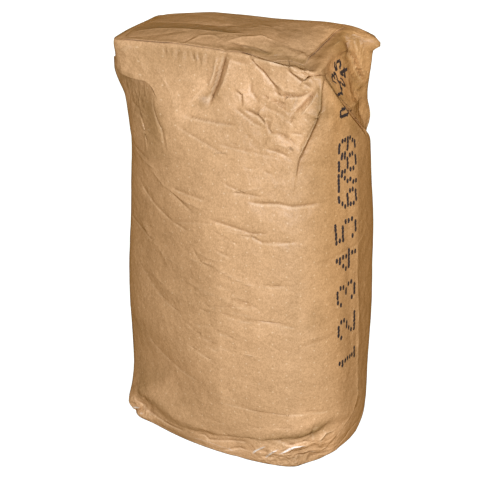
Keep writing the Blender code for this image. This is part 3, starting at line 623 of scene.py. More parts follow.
def sack_points(u, v, part, upper):
    """Points of the sack: u across and v from front to back, from -1 to 1, and the part of the height.

    Upper is 1 above the edge row, which is part of the hood on the left and of the tucked flap on the right.
    """
    left_reach, right_reach, middle, half_depth, *squareness, setback = sections(part)
    square = np.where(u < 0, squareness[0], np.where(v < 0, squareness[1], squareness[2]))
    half_width = np.where(u < 0, left_reach + middle, right_reach - middle)
    edge = np.maximum(np.maximum(abs(u), abs(v)), 1e-6)
    round_off = edge / (abs(u) ** square + abs(v) ** square + 1e-12) ** (1 / square)
    round_off = np.where(edge > 1e-5, round_off, 1.0)
    x, y = middle + half_width * u * round_off, half_depth * v * round_off
    z = part * HEIGHT
    below = (1 - part) * HEIGHT
    past_edge = edge_below(u, v) - below
    top = smooth(0.80, 1.0, part)
    right, back = smooth(0.0, 1.0, u), smooth(-1.0, 1.0, v)

    # The hood of the left end stands proud, and below it the tube is still pinched to a wedge
    hood = np.where(past_edge >= -1e-5, 1.0, 0.0)
    flare = HOOD_FLARE * (1 - v * v) * smooth(0.0, HOOD_DEPTH, below)
    x = x - (HOOD_PROUD + flare) * smooth(-0.6, -1.0, u) * hood
    fold = WEDGE_FOLD + WEDGE_FOLD_SHIFT * smooth(0.05, 0.12, below)
    pinch = (1 - hood) * smooth(WEDGE_LENGTH, 0.050, below) * np.where(u < fold, 1.0, 0.0)
    on_front, on_end = np.clip(fold - u, 0.0, 1.0) * half_width, (1 - abs(v)) * half_depth
    along = (on_front + on_end) / ((1 + fold) * half_width + half_depth)
    rounding = (abs(fold) ** square + 1) ** (-1 / square)
    fold_x, fold_y = middle + half_width * fold * rounding, half_depth * rounding
    wedge_x = fold_x + along * (-WEDGE_REACH - fold_x)
    wedge_y = np.sign(v) * fold_y * (1 - along) - WEDGE_FORWARD * along
    x, y = x + pinch * (wedge_x - x), y + pinch * (wedge_y - y)

    # The valve end slants at the top, its back corner is a fin, and above the slanting edge it is folded in
    x = x - FRONT_SHORT * smooth(0.72, 0.97, part) * right * smooth(0.6, -1.0, v)
    at_end = smooth(0.6, 1.0, u)
    fin = smooth(0.40, 0.9, v) * smooth(0.0, 0.03, past_edge)
    lean = smooth(0.0, 0.06, past_edge) * (1 - fin)
    above = np.maximum(past_edge, 0.0)
    groove = TUCK_GROOVE * np.exp(-above / 0.012) * (1 - fin)
    x = x - at_end * upper * (TUCK_STEP * (1 - (1 - FIN_STEP) * fin) + TUCK_LEAN * lean + groove)
    z = z - at_end * upper * UNDERLAP * np.exp(-above / 0.0015) * smooth(0.0, 0.01, below)

    # The edges of the base are bowed, and its valve end slants too
    base = smooth(0.10, 0.0, part)
    y = y * (1 - base * u * u * np.where(u < 0, BASE_BOW, BASE_BOW / 3) * smooth(0.0, -1.0, v))
    x = x - BASE_SLANT * smooth(0.16, 0.0, part) * right * smooth(0.6, -1.0, v)

    # The sand domes the top, its long folds rise between the corners, and corners sag or rise
    z = z + FOLD_BOW * top * ((1 - back) * (1 - u * u) + BACK_BOW * back * (1 - u ** 4))
    z = z - FRONT_FALL * top * (1 - back) * smooth(-0.7, 0.5, u)
    z = z - HOOD_DROP * top * smooth(0.2, -1.0, u)
    z = z - BACK_DROP * top * smooth(-0.5, -1.0, u) * smooth(-0.6, 1.0, v)
    z = z + BACK_RISE * top * smooth(0.0, 0.8, u) * smooth(-0.4, 1.0, v)
    z = z + TOP_DOME * np.where(part == 1.0, ((1 - u * u) * (1 - v * v)) ** 0.7, 0.0)
    points = np.stack([x, y + setback, z], axis=-1)
    for place, reach, pull in PULLS.values():
        near = np.exp(-np.sum((points - np.array(place)) ** 2, axis=-1) / reach ** 2)
        points = points + near[..., None] * np.array(pull)
    return points + np.array([*CENTRE, SHEET + CLEARANCE])


def spread(cells, *weights, steps=400):
    """Positions from -1 to 1, closer together where a weight, given at even places along, is larger."""
    fine = np.linspace(-1, 1, steps)
    density = np.interp(fine, np.linspace(-1, 1, len(weights)), weights)
    total = np.concatenate([[0], np.cumsum((density[1:] + density[:-1]) / 2)])
    return np.interp(np.linspace(0, total[-1], cells + 1), total, fine)


def quads(rows, columns, closed):
    """Faces of a net of points in rows and columns; a closed one goes on round to its first column."""
    r, c = np.indices((rows - 1, columns if closed else columns - 1))
    here, beside = r * columns + c, r * columns + (c + 1) % columns
    return np.stack([here, beside, beside + columns, here + columns], axis=-1).reshape(-1, 4).tolist()


def net_of_sack(front, back, valve, hood, lower, upper, top_rings, base_rings):
    """Points and faces of the sack as one closed net, and the points' places on its flat paper.

    Rings run up the tube and shrink to a point over each end. The last ring of the lower ones follows the
    edge of the hood and of the tucked flap.
    """
    ring_u = np.concatenate([front[:-1], np.ones(len(valve) - 1), back[:0:-1], -np.ones(len(hood) - 1)])
    ring_v = np.concatenate([-np.ones(len(front) - 1), valve[:-1], np.ones(len(back) - 1), hood[:0:-1]])
    columns = len(ring_u)
    depths = np.concatenate([lower, upper])[:, None]
    edge = edge_below(ring_u, ring_v)[None, :]
    stretched = EDGE_REACH - (EDGE_REACH - depths) * (EDGE_REACH - edge) / (EDGE_REACH - EDGE_LEVEL)
    below = np.where(depths < EDGE_REACH, stretched, depths)
    below = np.where(depths < EDGE_LEVEL, depths * edge / EDGE_LEVEL, below)
    base_shrink = np.linspace(0.0, 1.0, base_rings + 1)[1:-1]
    top_shrink = np.linspace(1.0, 0.0, top_rings + 1)[1:-1]
    shrink = np.concatenate([base_shrink, np.ones(len(depths)), top_shrink])[:, None]
    base_part, top_part = np.zeros((len(base_shrink), columns)), np.ones((len(top_shrink), columns))
    part = np.concatenate([base_part, 1 - below / HEIGHT, top_part])
    above = np.concatenate([0 * base_shrink, 0 * lower, np.ones(len(upper) + len(top_shrink))])[:, None]
    rings = sack_points(shrink * ring_u, shrink * ring_v, part, above)
    middle, top_and_base = np.zeros(2), np.array([1.0, 0.0])
    middles = sack_points(middle, middle, top_and_base, top_and_base)
    points = np.concatenate([rings.reshape(-1, 3), middles])
    rows = len(shrink)
    faces = quads(rows, columns, closed=True)
    last = (rows - 1) * columns
    for c in range(columns):
        faces.append((last + c, last + (c + 1) % columns, rows * columns))
        faces.append(((c + 1) % columns, c, rows * columns + 1))

    # Places on the flat paper: around the tube and up it
    waist = rings[np.argmin(abs(part[:, 0] - 0.5))]
    steps = np.linalg.norm(np.diff(waist, axis=0, prepend=waist[-1:]), axis=1)
    around = np.broadcast_to(np.cumsum(steps), part.shape)
    sheet = np.stack([around, part * HEIGHT, 0 * part], axis=-1).reshape(-1, 3)
    return points, faces, np.concatenate([sheet, [sheet[-1], sheet[0]]])


def as_object(name, points, faces):
    """A smooth mesh object in the scene."""
    data = bpy.data.meshes.new(name)
    data.from_pydata(points.tolist(), [], faces)
    data.shade_smooth()
    piece = bpy.data.objects.new(name, data)
    bpy.context.scene.collection.objects.link(piece)
    return piece


def tree_of(piece):
    """The piece's surface, for rays and nearest places."""
    return BVHTree.FromObject(piece, bpy.context.evaluated_depsgraph_get())


def normals_of(piece):
    """The piece's outward directions, one for each point."""
    normals = np.empty(len(piece.data.vertices) * 3, dtype=np.float32)
    piece.data.vertex_normals.foreach_get("vector", normals)
    return normals.reshape(-1, 3)


def move_out(piece, points, normals, distance):
    """Moves the points along their normals, but not into the floor, and gives them back."""
    moved = points + normals * distance[:, None]
    moved[:, 2] = np.maximum(moved[:, 2], SHEET + CLEARANCE)
    piece.data.vertices.foreach_set("co", moved.astype(np.float32).ravel())
    piece.data.update()
    return moved


def give_attributes(piece, **attributes):
    """Values that a finish reads, one or three for each point."""
    for name, values in attributes.items():
        kind, key = ("FLOAT", "value") if values.ndim == 1 else ("FLOAT_VECTOR", "vector")
        layer = piece.data.attributes.new(name, kind, "POINT").data
        layer.foreach_set(key, values.astype(np.float32).ravel())


def look_from(azimuth, elevation):
    """Direction from the sack towards there; azimuth 0 is the front and 90 the valve end."""
    a, e = math.radians(azimuth), math.radians(elevation)
    return Vector((math.sin(a) * math.cos(e), -math.cos(a) * math.cos(e), math.sin(e)))


def camera_axes():
    """Directions towards the camera, to its right and up in its picture."""
    back, right = look_from(CAMERA_AZIMUTH, CAMERA_ELEVATION), look_from(CAMERA_AZIMUTH + 90.0, 0.0)
    return back, right, back.cross(right)


def photo_ray(x, y):
    """The ray from the camera through a pixel of the photograph."""
    back, right, up = camera_axes()
    across = (x - PHOTO_SIDE / 2 - IMAGE_SHIFT[0]) / FOCAL_PIXELS
    down = (y - PHOTO_SIDE / 2 - IMAGE_SHIFT[1]) / FOCAL_PIXELS
    return CAMERA_TARGET + back * CAMERA_DISTANCE, (right * across - up * down - back).normalized()


def photo_pixels(points):
    """Where the camera sees these points: the pixels of the photograph, across and down."""
    back, right, up = (np.array(axis) for axis in camera_axes())
    offset = points - np.array(CAMERA_TARGET) - back * CAMERA_DISTANCE
    depth = -(offset @ back)
    across = offset @ right / depth * FOCAL_PIXELS + PHOTO_SIDE / 2 + IMAGE_SHIFT[0]
    down = -(offset @ up) / depth * FOCAL_PIXELS + PHOTO_SIDE / 2 + IMAGE_SHIFT[1]
    return across, down


def on_paper(tree, x, y, tries=12, step=0.7):
    """The place on the sack, and its normal, at a pixel of the photograph, or else at one further inwards."""
    middle = Vector((PHOTO_SIDE / 2, PHOTO_SIDE / 2))
    for _ in range(tries):
        origin, direction = photo_ray(x, y)
        place, normal, _, _ = tree.ray_cast(origin, direction)
        if place is not None:
            return place, normal
        x, y = Vector((x, y)) + (middle - Vector((x, y))).normalized() * step
    origin, direction = photo_ray(x, y)
    return tree.find_nearest(origin + direction * CAMERA_DISTANCE)[:2]


def height_net(corners, heights, edges):
    """A net of triangles between corners on a plane, each at its height; it keeps the edges."""
    places, _, triangles, origins, _, _ = delaunay_2d_cdt(corners, edges, [], 0, 1e-6)
    net = [Vector((*place, heights[origin[0]] if origin else 0.0)) for place, origin in zip(places, origins)]
    return BVHTree.FromPolygons(net, triangles)


def height_below(tree, x, y, start):
    """The height of a surface straight below a start, or 0 where there is none."""
    place = tree.ray_cast(Vector((x, y, start)), Vector((0, 0, -1)))[0]
    return 0.0 if place is None else place.z


def seen_heights(points, normals, corners, heights, edges, start=50.0):
    """Heights at these points of a net over the photograph, where the camera sees them, and 0 elsewhere."""
    tree = height_net(corners, heights, edges)
    facing = smooth(*SEEN, normals @ np.array(look_from(CAMERA_AZIMUTH, CAMERA_ELEVATION)))
    result = np.zeros(len(points))
    for index, (x, y) in enumerate(zip(*photo_pixels(points))):
        if facing[index] > 0:
            result[index] = height_below(tree, x, y, start)
    return result * facing


def chained(lines):
    """Corners, heights and edges of lines of corners, each a pixel of the photograph and a height."""
    corners, heights, edges = [], [], []
    for line in lines:
        edges += [(index, index + 1) for index in range(len(corners), len(corners) + len(line) - 1)]
        corners += [Vector((x, y)) for x, y, _ in line]
        heights += [height for _, _, height in line]
    return corners, heights, edges


def photo_net(points, normals, lines):
    """Values at these points of a net whose edges are lines of corners."""
    return seen_heights(points, normals, *chained(lines.values()))


def folded_facets(points, normals, folds, chance):
    """Heights of the flat facets between the traced folds, for the points that the camera sees.

    The ridges and valleys are the edges of a net of triangles over the photograph, and loose points that
    barely rise or sink fill it between them.
    """
    lines = []
    for height, _, _, pixels in folds:
        shares = [FOLD_END, *[1.0] * (len(pixels) - 2), FOLD_END]
        lines.append([(*pixel, height * share) for pixel, share in zip(pixels, shares)])
    corners, heights, edges = chained(lines)
    traced = np.array(corners)
    for row in range(0, PHOTO_SIDE, FACET_PIXELS):
        for column in range(0, PHOTO_SIDE, FACET_PIXELS):
            loose = (column + chance.uniform(0, FACET_PIXELS), row + chance.uniform(0, FACET_PIXELS))
            if np.min(np.linalg.norm(traced - loose, axis=1)) > FACET_CLEAR:
                corners.append(Vector(loose))
                heights.append(chance.uniform(-FACET_LOOSE, FACET_LOOSE))
    return seen_heights(points, normals, corners, heights, edges) * FACET_SHARE / 1000


def traced_folds(folds, tree):
    """The folds of the photograph as lines on the paper: height, reaches, and places and normals along."""
    for height, left, right, pixels in folds.values():
        yield height / 1000, (left / 1000, right / 1000), [on_paper(tree, *pixel) for pixel in pixels]


def scattered_folds(tree, chance):
    """Short creases on the sides that the photograph doesn't show, and fainter ones on the front."""
    for count, azimuths, heights, depth in SCATTERED:
        for _ in range(count):
            azimuth, z = chance.uniform(*azimuths), chance.uniform(*heights)
            length, slope = chance.uniform(*CREASE_LENGTH), chance.uniform(-CREASE_SLOPE, CREASE_SLOPE)
            bend = chance.uniform(-CREASE_BEND, CREASE_BEND)
            height = chance.uniform(CREASE_SHALLOW, 1.0) * depth
            away = look_from(azimuth, 0.0)
            hits = []
            for share in (-0.5, -0.2, 0.1, 0.5):
                beside = Vector((0, 0, 1)).cross(away) * length * share
                lift = Vector((0, 0, length * (slope * share + bend * share * share)))
                start = Vector((0, 0, z)) + away * 0.5 + beside + lift
                hits.append(tree.ray_cast(start, -away)[:2])
            if all(place is not None for place, _ in hits):
                yield chance.choice((-1, -1, 1)) * height / 1000, CREASE_REACH, hits


def along_line(points, normals, hits):
    """For every point its distance to a line, its side and how far along it is, and the line's length."""
    distance = np.full(len(points), 1e9)
    side, run = np.zeros(len(points)), np.zeros(len(points))
    line, facings = np.array(hits).swapaxes(0, 1)
    walked = 0.0
    for a, b, facing in zip(line, line[1:], facings):
        step = b - a
        length = np.linalg.norm(step)
        t = np.clip((points - a) @ step / length ** 2, 0.0, 1.0)
        away = points - a - t[:, None] * step
        d = np.linalg.norm(away, axis=1)
        near = (d < distance) & (normals @ facing > SAME_SIDE)
        side = np.where(near, np.sign(away @ np.cross(facing, step)), side)
        run = np.where(near, walked + t * length, run)
        distance = np.where(near, d, distance)
        walked += length
    return distance, side, run, walked


def fold_heights(points, normals, folds):
    """How far the folds lift or sink each point, and the nearest: distance and strength in mm, and side."""
    lift = np.zeros(len(points))
    nearest = np.full(len(points), LINE_REACH)
    lines = np.tile([LINE_REACH * 1000, 0.0, 0.0], (len(points), 1))
    for height, reaches, hits in folds:
        line = np.array([place for place, _ in hits])
        far = 5 * max(reaches)
        close_by = (points > line.min(axis=0) - far) & (points < line.max(axis=0) + far)
        chosen = np.nonzero(close_by.all(axis=1))[0]
        distance, side, run, length = along_line(points[chosen], normals[chosen], hits)
        taper = smooth(0.0, 1.0, np.minimum(run, length - run) / min(LINE_FADE * length, LINE_REACH))
        reach = np.where(side > 0, *reaches)
        fall = sum(share * np.exp(-distance / (over * reach)) for share, over in LINE_FALLS)
        lift[chosen] += height * fall * taper * LINE_SHARE
        strength = height * taper * smooth(*LINE_MARK, distance)
        closer = distance < nearest[chosen]
        picked = chosen[closer]
        nearest[picked] = distance[closer]
        lines[picked] = np.stack([distance * 1000, strength * 1000, side], axis=-1)[closer]
    return lift, lines


def crumpled_facets(around, up, length, spacing, chance):
    """Heights of a crumpled sheet, closed round the tube: flat facets between points at random heights."""
    rows, columns = int(NET_HEIGHT / spacing), int(length / spacing)
    corners, heights = [], []
    for row in range(rows):
        for column in range(columns):
            x = (column + chance.uniform(0.1, 0.9)) * length / columns
            y = (row + chance.uniform(0.1, 0.9)) * spacing - NET_START
            height = chance.uniform(-1, 1) * NET_LIFT
            for turned in (x - length, x, x + length):
                if -NET_OVERLAP < turned < length + NET_OVERLAP:
                    corners.append(Vector((turned, y)))
                    heights.append(height)
    tree = height_net(corners, heights, [])
    return np.array([height_below(tree, x, y, 10 * NET_LIFT) for x, y in zip(around, up)]) / NET_LIFT


def crumpling(points, sheet, chance):
    """Height of the crumpling with the soft waves that the sand gives the paper, and its strength."""
    strength = np.full(len(points), CRUMPLE_ALL)
    for middle, radius, height in CRUMPLED:
        near = np.exp(-np.sum((points - np.array(middle)) ** 2, axis=1) / radius ** 2)
        strength = np.maximum(strength, height / 1000 * near)
    around, up = sheet[:, 0], sheet[:, 1]
    coarse, fine = (crumpled_facets(around, up, around.max(), spacing, chance)
                    for spacing in (COARSE_CRUMPLE, FINE_CRUMPLE))
    waves = np.array([noise(Vector(point) * WAVES) for point in points.tolist()])
    off_ends = smooth(0.0, 0.01, up) * smooth(HEIGHT, HEIGHT - 0.006, up)
    return (strength * (coarse + FINE_SHARE * fine) + WAVE_HEIGHT * waves) * off_ends, strength


def worn_streaks(points, normals, tree):
    """How strongly the painted glints show on the folds of the base; below 0 they don't."""
    worn = np.full(len(points), NO_GLINT)
    for width, share, pixels in PAINTED_GLINTS.values():
        distance, _, run, length = along_line(points, normals, [on_paper(tree, *pixel) for pixel in pixels])
        taper = smooth(0.0, GLINT_TAPER, np.minimum(run, length - run) / length)
        worn = np.maximum(worn, np.minimum(share * taper, GLINT_EDGE * (1 - 1000 * distance / width)))
    return worn


def paper_sack():
    """The sack with its planes, folds and crumpling, and the values that its finish reads."""
    middle, half = (HEIGHT + EDGE_LEVEL) / 2, (HEIGHT - EDGE_LEVEL) / 2
    lower = middle - half * spread(*TUBE_CELLS)
    upper = EDGE_LEVEL * (1 - spread(*EDGE_CELLS)) / 2
    sides = [spread(*cells) for cells in (FRONT_CELLS, BACK_CELLS, VALVE_CELLS, HOOD_CELLS)]
    points, faces, sheet_places = net_of_sack(*sides, lower, upper[1:], TOP_RINGS, BASE_RINGS)
    piece = as_object("creased_sack", points, faces)
    normals = normals_of(piece)
    # The painted light and shade and the painted warm shade, on the paper that the camera sees
    tone, warmth = photo_net(points, normals, PAINTED_LIGHT_AND_SHADE), photo_net(points, normals, PAINTED_WARM_SHADE)
    points = move_out(piece, points, normals, photo_net(points, normals, PLANES) / 1000)
    normals = normals_of(piece)
    tree = BVHTree.FromPolygons([Vector(point) for point in points], faces)
    chance = random.Random(7)
    lift, lines = fold_heights(points, normals, [*traced_folds(FOLDS, tree), *scattered_folds(tree, chance)])
    lift += folded_facets(points, normals, FOLDS.values(), chance)
    crumple, strength = crumpling(points, sheet_places, chance)
    move_out(piece, points, normals, lift + crumple)
    give_attributes(piece, tone=tone, warmth=warmth, fold_line=lines, crumple=strength * 1000,
                    worn=worn_streaks(points, normals, tree), sheet_place=sheet_places)
    return piece


def top_cover_sheet(sack):
    """The sheet pasted over the top: a fine grid draped on the creased sack, with wrinkles of its own."""
    side = 1 - 2 * COVER_SIDE_MARGIN / TOP_DEPTH
    end, valve_end = 1 - COVER_SIDE_MARGIN / TOP_REACH, 1 - COVER_VALVE_MARGIN / TOP_REACH
    u, across = np.meshgrid(np.linspace(-end, valve_end, COVER_COLUMNS), np.linspace(0, 1, COVER_ROWS))
    front = -1 + COVER_FRONT_GAP[0] + (COVER_FRONT_GAP[1] - COVER_FRONT_GAP[0]) * smooth(0.0, valve_end, u)
    level = sack_points(u, front + (side - front) * across, 1 + 0 * u, 1 + 0 * u).reshape(-1, 3)
    tree = tree_of(sack)
    for point in level:
        point[2] = height_below(tree, point[0], point[1], 2 * HEIGHT) + COVER_LIFT
    piece = as_object("wrinkled_top_sheet", level, quads(COVER_ROWS, COVER_COLUMNS, closed=False))
    make_room_under(sack, piece)
    normals = normals_of(piece)
    lift, lines = fold_heights(level, normals, traced_folds(SHEET_FOLDS, tree))
    lift += folded_facets(level, normals, SHEET_FOLDS.values(), random.Random(5))
    r, c = np.indices((COVER_ROWS, COVER_COLUMNS))
    lift = np.maximum(lift, -room_inside(r, c, COVER_ROWS - 1, COVER_COLUMNS - 1).ravel())
    lift += COVER_CURL * smooth(COVER_BORDER_CELLS, 0, np.minimum(COVER_COLUMNS - 1 - c, r)).ravel()
    move_out(piece, level, normals, lift)
    # the sheet gets the painted light and shade and the painted warm shade too
    give_attributes(piece, tone=photo_net(level, normals, PAINTED_LIGHT_AND_SHADE), warmth=photo_net(level, normals, PAINTED_WARM_SHADE),
                    fold_line=lines, crumple=np.full(len(level), COVER_CRUMPLE))
    wall = piece.modifiers.new("thickness", "SOLIDIFY")
    wall.thickness = SHEET
    wall.offset = -1.0
    return piece


def room_inside(row, column, last_row, last_column):
    """How far the top sheet's wrinkles may sink: nothing at its border."""
    cells = np.minimum(np.minimum(row, last_row - row), np.minimum(column, last_column - column))
    return COVER_WRINKLE_ROOM * np.clip(cells / COVER_BORDER_CELLS, 0.0, 1.0)


def make_room_under(sack, sheet, near_top=0.95, start_below=0.002):
    """Lowers the sack's paper under the sheet, away from the sheet's border, for the sheet's wrinkles."""
    tree = tree_of(sheet)
    for corner in sack.data.vertices:
        if corner.co.z > HEIGHT * near_top:
            place, _, face, _ = tree.ray_cast(corner.co - Vector((0, 0, start_below)), Vector((0, 0, 1)))
            if place is not None:
                row, column = divmod(face, COVER_COLUMNS - 1)
                corner.co.z -= room_inside(row, column, COVER_ROWS - 2, COVER_COLUMNS - 2)
    sack.data.update()


def packed_sand(sack):
    """The sand inside the paper, clear of the creased paper along rays from the sack's axis."""
    depths = np.linspace(HEIGHT, 0.0, SAND_LEVELS)
    sides = [spread(cells, 1, 1) for cells in SAND_CELLS]
    points, faces, _ = net_of_sack(*sides, depths[depths > EDGE_LEVEL], depths[depths <= EDGE_LEVEL],
                                   SAND_TOP_RINGS, SAND_BASE_RINGS)
    tree = tree_of(sack)
    for point in points:
        start = Vector((*CENTRE, np.clip(point[2], *SAND_AXIS)))
        away = Vector(point) - start
        paper = tree.ray_cast(start, away)[0]
        point[:] = start + away * min(1.0, ((paper - start).length - SAND_CLEAR) / away.length)
    return as_object("packed_sand", points, faces)


def stamped_figures(sack):
    """A row of plain figures in streaks of ink, along the valve side of the tube and into the folded end."""
    tree = tree_of(sack)
    chance = random.Random(11)
    places, facings, alongs, sizes = [], [], [], []
    for figure, pixel, size in FIGURE_PLACES:
        middle, normal = on_paper(tree, *pixel)
        along = (Vector((0, 0, 1)) - normal * normal.z).normalized()
        upright = normal.cross(along)
        for row, streaks in enumerate(FIGURES[figure]):
            for column, inked in enumerate(streaks):
                if inked == "1":
                    across = (column - 2) / 4 + chance.uniform(-STREAK_STRAY[0], STREAK_STRAY[0])
                    up = (3 - row) / 6 + chance.uniform(-STREAK_STRAY[1], STREAK_STRAY[1])
                    start = middle + along * FIGURE_WIDTH * size * across
                    start += upright * FIGURE_HEIGHT * size * up
                    place, facing = tree.find_nearest(start)[:2]
                    places.append(place + facing * INK_LIFT)
                    facings.append(facing)
                    alongs.append(along)
                    sizes.append(size ** STREAK_SHRINK)
    piece = as_object("stamped_figures", np.array(places), [])
    give_attributes(piece, facing=np.array(facings), along=np.array(alongs), size=np.array(sizes))
    streaks = piece.modifiers.new("streaks", "NODES")
    streaks.node_group = streaks_tree(ink_finish())
    for item in streaks.node_group.interface.items_tree:
        if item.name in STREAK:
            streaks[item.identifier] = STREAK[item.name]
    made = bpy.data.meshes.new_from_object(piece.evaluated_get(bpy.context.evaluated_depsgraph_get()))
    piece.modifiers.remove(streaks)
    piece.data = made
    return piece


def streaks_tree(ink):
    """Geometry Nodes: on every point an ink streak, flat on the paper; all are realized and take the ink."""
    tree = bpy.data.node_groups.new("ink_streaks", "GeometryNodeTree")
    tree.interface.new_socket("Geometry", in_out="INPUT", socket_type="NodeSocketGeometry")
    for name in STREAK:
        tree.interface.new_socket(name, in_out="INPUT", socket_type="NodeSocketFloat")
    tree.interface.new_socket("Geometry", in_out="OUTPUT", socket_type="NodeSocketGeometry")

    def attribute(name, kind="FLOAT_VECTOR"):
        made = add_node(tree, "GeometryNodeInputNamedAttribute", {"data_type": kind}, Name=name)
        return made.outputs["Attribute"]

    given = add_node(tree, "NodeGroupInput", {}).outputs
    size = add_node(tree, "ShaderNodeCombineXYZ", {}, given["Width"], given["Length"], given["Depth"])
    disc = add_node(tree, "GeometryNodeMeshCylinder", {}, Vertices=STREAK_SIDES, Radius=0.5, Depth=1.0)
    streak = add_node(tree, "GeometryNodeTransform", {}, Geometry=disc.outputs["Mesh"], Scale=size.outputs[0])
    turn = add_node(tree, "FunctionNodeAxesToRotation", {"primary_axis": "Z", "secondary_axis": "Y"},
                    Primary_Axis=attribute("facing"), Secondary_Axis=attribute("along"))
    stamped = add_node(tree, "GeometryNodeInstanceOnPoints", {}, Points=given["Geometry"],
                       Instance=streak.outputs[0], Rotation=turn.outputs[0], Scale=attribute("size", "FLOAT"))
    solid = add_node(tree, "GeometryNodeRealizeInstances", {}, stamped.outputs[0])
    inked = add_node(tree, "GeometryNodeSetMaterial", {}, Geometry=solid.outputs[0], Material=ink)
    add_node(tree, "NodeGroupOutput", {}, inked.outputs[0])
    return tree


def add_node(tree, kind, settings, *values, **named):
    """A node with its settings made first, then its sockets by order or by name."""
    made = tree.nodes.new(kind)
    for key, value in settings.items():
        setattr(made, key, value)
    for key, value in [*enumerate(values), *named.items()]:
        feed(tree, made.inputs[key.replace("_", " ") if isinstance(key, str) else key], value)
    return made


def feed(tree, socket, value):
    """Gives a socket a wire, another socket, a number or a colour; None leaves it as it is."""
    value = value.socket if isinstance(value, Wire) else value
    if isinstance(value, bpy.types.NodeSocket):
        tree.links.new(value, socket)
    elif value is not None:
        socket.default_value = (*value, 1.0) if socket.type == "RGBA" else value


class Wire:
    """A socket of a finish. Sums, products and the like of wires and numbers add their Math nodes."""

    def __init__(self, finish, socket):
        self.finish, self.socket = finish, socket

    def maths(self, operation, *values):
        return self.finish.node("ShaderNodeMath", {"operation": operation}, *values)

    def __add__(self, other):
        return self.maths("ADD", self, other)

    def __sub__(self, other):
        return self.maths("SUBTRACT", self, other)

    def __rsub__(self, other):
        return self.maths("SUBTRACT", other, self)

    def __mul__(self, other):
        return self.maths("MULTIPLY", self, other)

    def __truediv__(self, other):
        return self.maths("DIVIDE", self, other)

    def __pow__(self, other):
        return self.maths("POWER", self, other)

    __radd__, __rmul__ = __add__, __mul__

    def exponential(self):
        return self.maths("EXPONENT", self)

    def whole(self, operation):
        """The nearest whole number, by ROUND, or the one below, by FLOOR."""
        return self.maths(operation, self)

    def between(self, low, high):
        """0 at low and 1 at high, held there outside."""
        return self.finish.node("ShaderNodeClamp", {}, (self - low) * (1 / (high - low)))

    def parts(self):
        """The three numbers of a vector."""
        made = self.finish.node("ShaderNodeSeparateXYZ", {}, self).socket.node
        return [Wire(self.finish, socket) for socket in made.outputs]


class Finish:
    """A material with its node tree."""

    def __init__(self, name):
        self.material = bpy.data.materials.new(name)
        self.material.use_nodes = True
        self.tree = self.material.node_tree

    def node(self, kind, settings, *values, out=0, **named):
        """Adds a node and gives one of its outputs."""
        return Wire(self, add_node(self.tree, kind, settings, *values, **named).outputs[out])

    def surface(self, **values):
        """Gives sockets of the shader, by name, their wires, numbers or colours."""
        for name, value in values.items():
            feed(self.tree, self.tree.nodes["Principled BSDF"].inputs[name.replace("_", " ")], value)

    def place(self):
        return self.node("ShaderNodeTexCoord", {}, out="Object")

    def attribute(self, name, out="Fac"):
        return self.node("ShaderNodeAttribute", {"attribute_name": name}, out=out)

    def noise(self, vector, scale, detail, rough):
        return self.node("ShaderNodeTexNoise", {"noise_dimensions": "3D", "noise_type": "FBM"}, Vector=vector,
                         Scale=scale, Detail=detail, Roughness=rough)

    def cells(self, vector, scale, turn):
        """Flat facets with sharp creases between them, turned off the axes."""
        by_angles = {"rotation_type": "EULER_XYZ"}
        turned = self.node("ShaderNodeVectorRotate", by_angles, Vector=vector, Rotation=turn)
        settings = {"voronoi_dimensions": "3D", "feature": "F1", "distance": "CHEBYCHEV"}
        return self.node("ShaderNodeTexVoronoi", settings, Vector=turned, Scale=scale, out="Distance")

    def stretched(self, vector, by):
        return self.node("ShaderNodeVectorMath", {"operation": "MULTIPLY"}, vector, by)

    def mixed(self, share, first, second, blend="MIX"):
        """Two colours mixed by a share; the Mix node has them at its sockets 6 and 7, and gives them at 2."""
        settings = {"data_type": "RGBA", "blend_type": blend}
        return self.node("ShaderNodeMix", settings, share, *[None] * 5, first, second, out=2)

    def bump(self, height, depth=1.0):
        return self.node("ShaderNodeBump", {}, Strength=1.0, Distance=depth, Height=height, out="Normal")


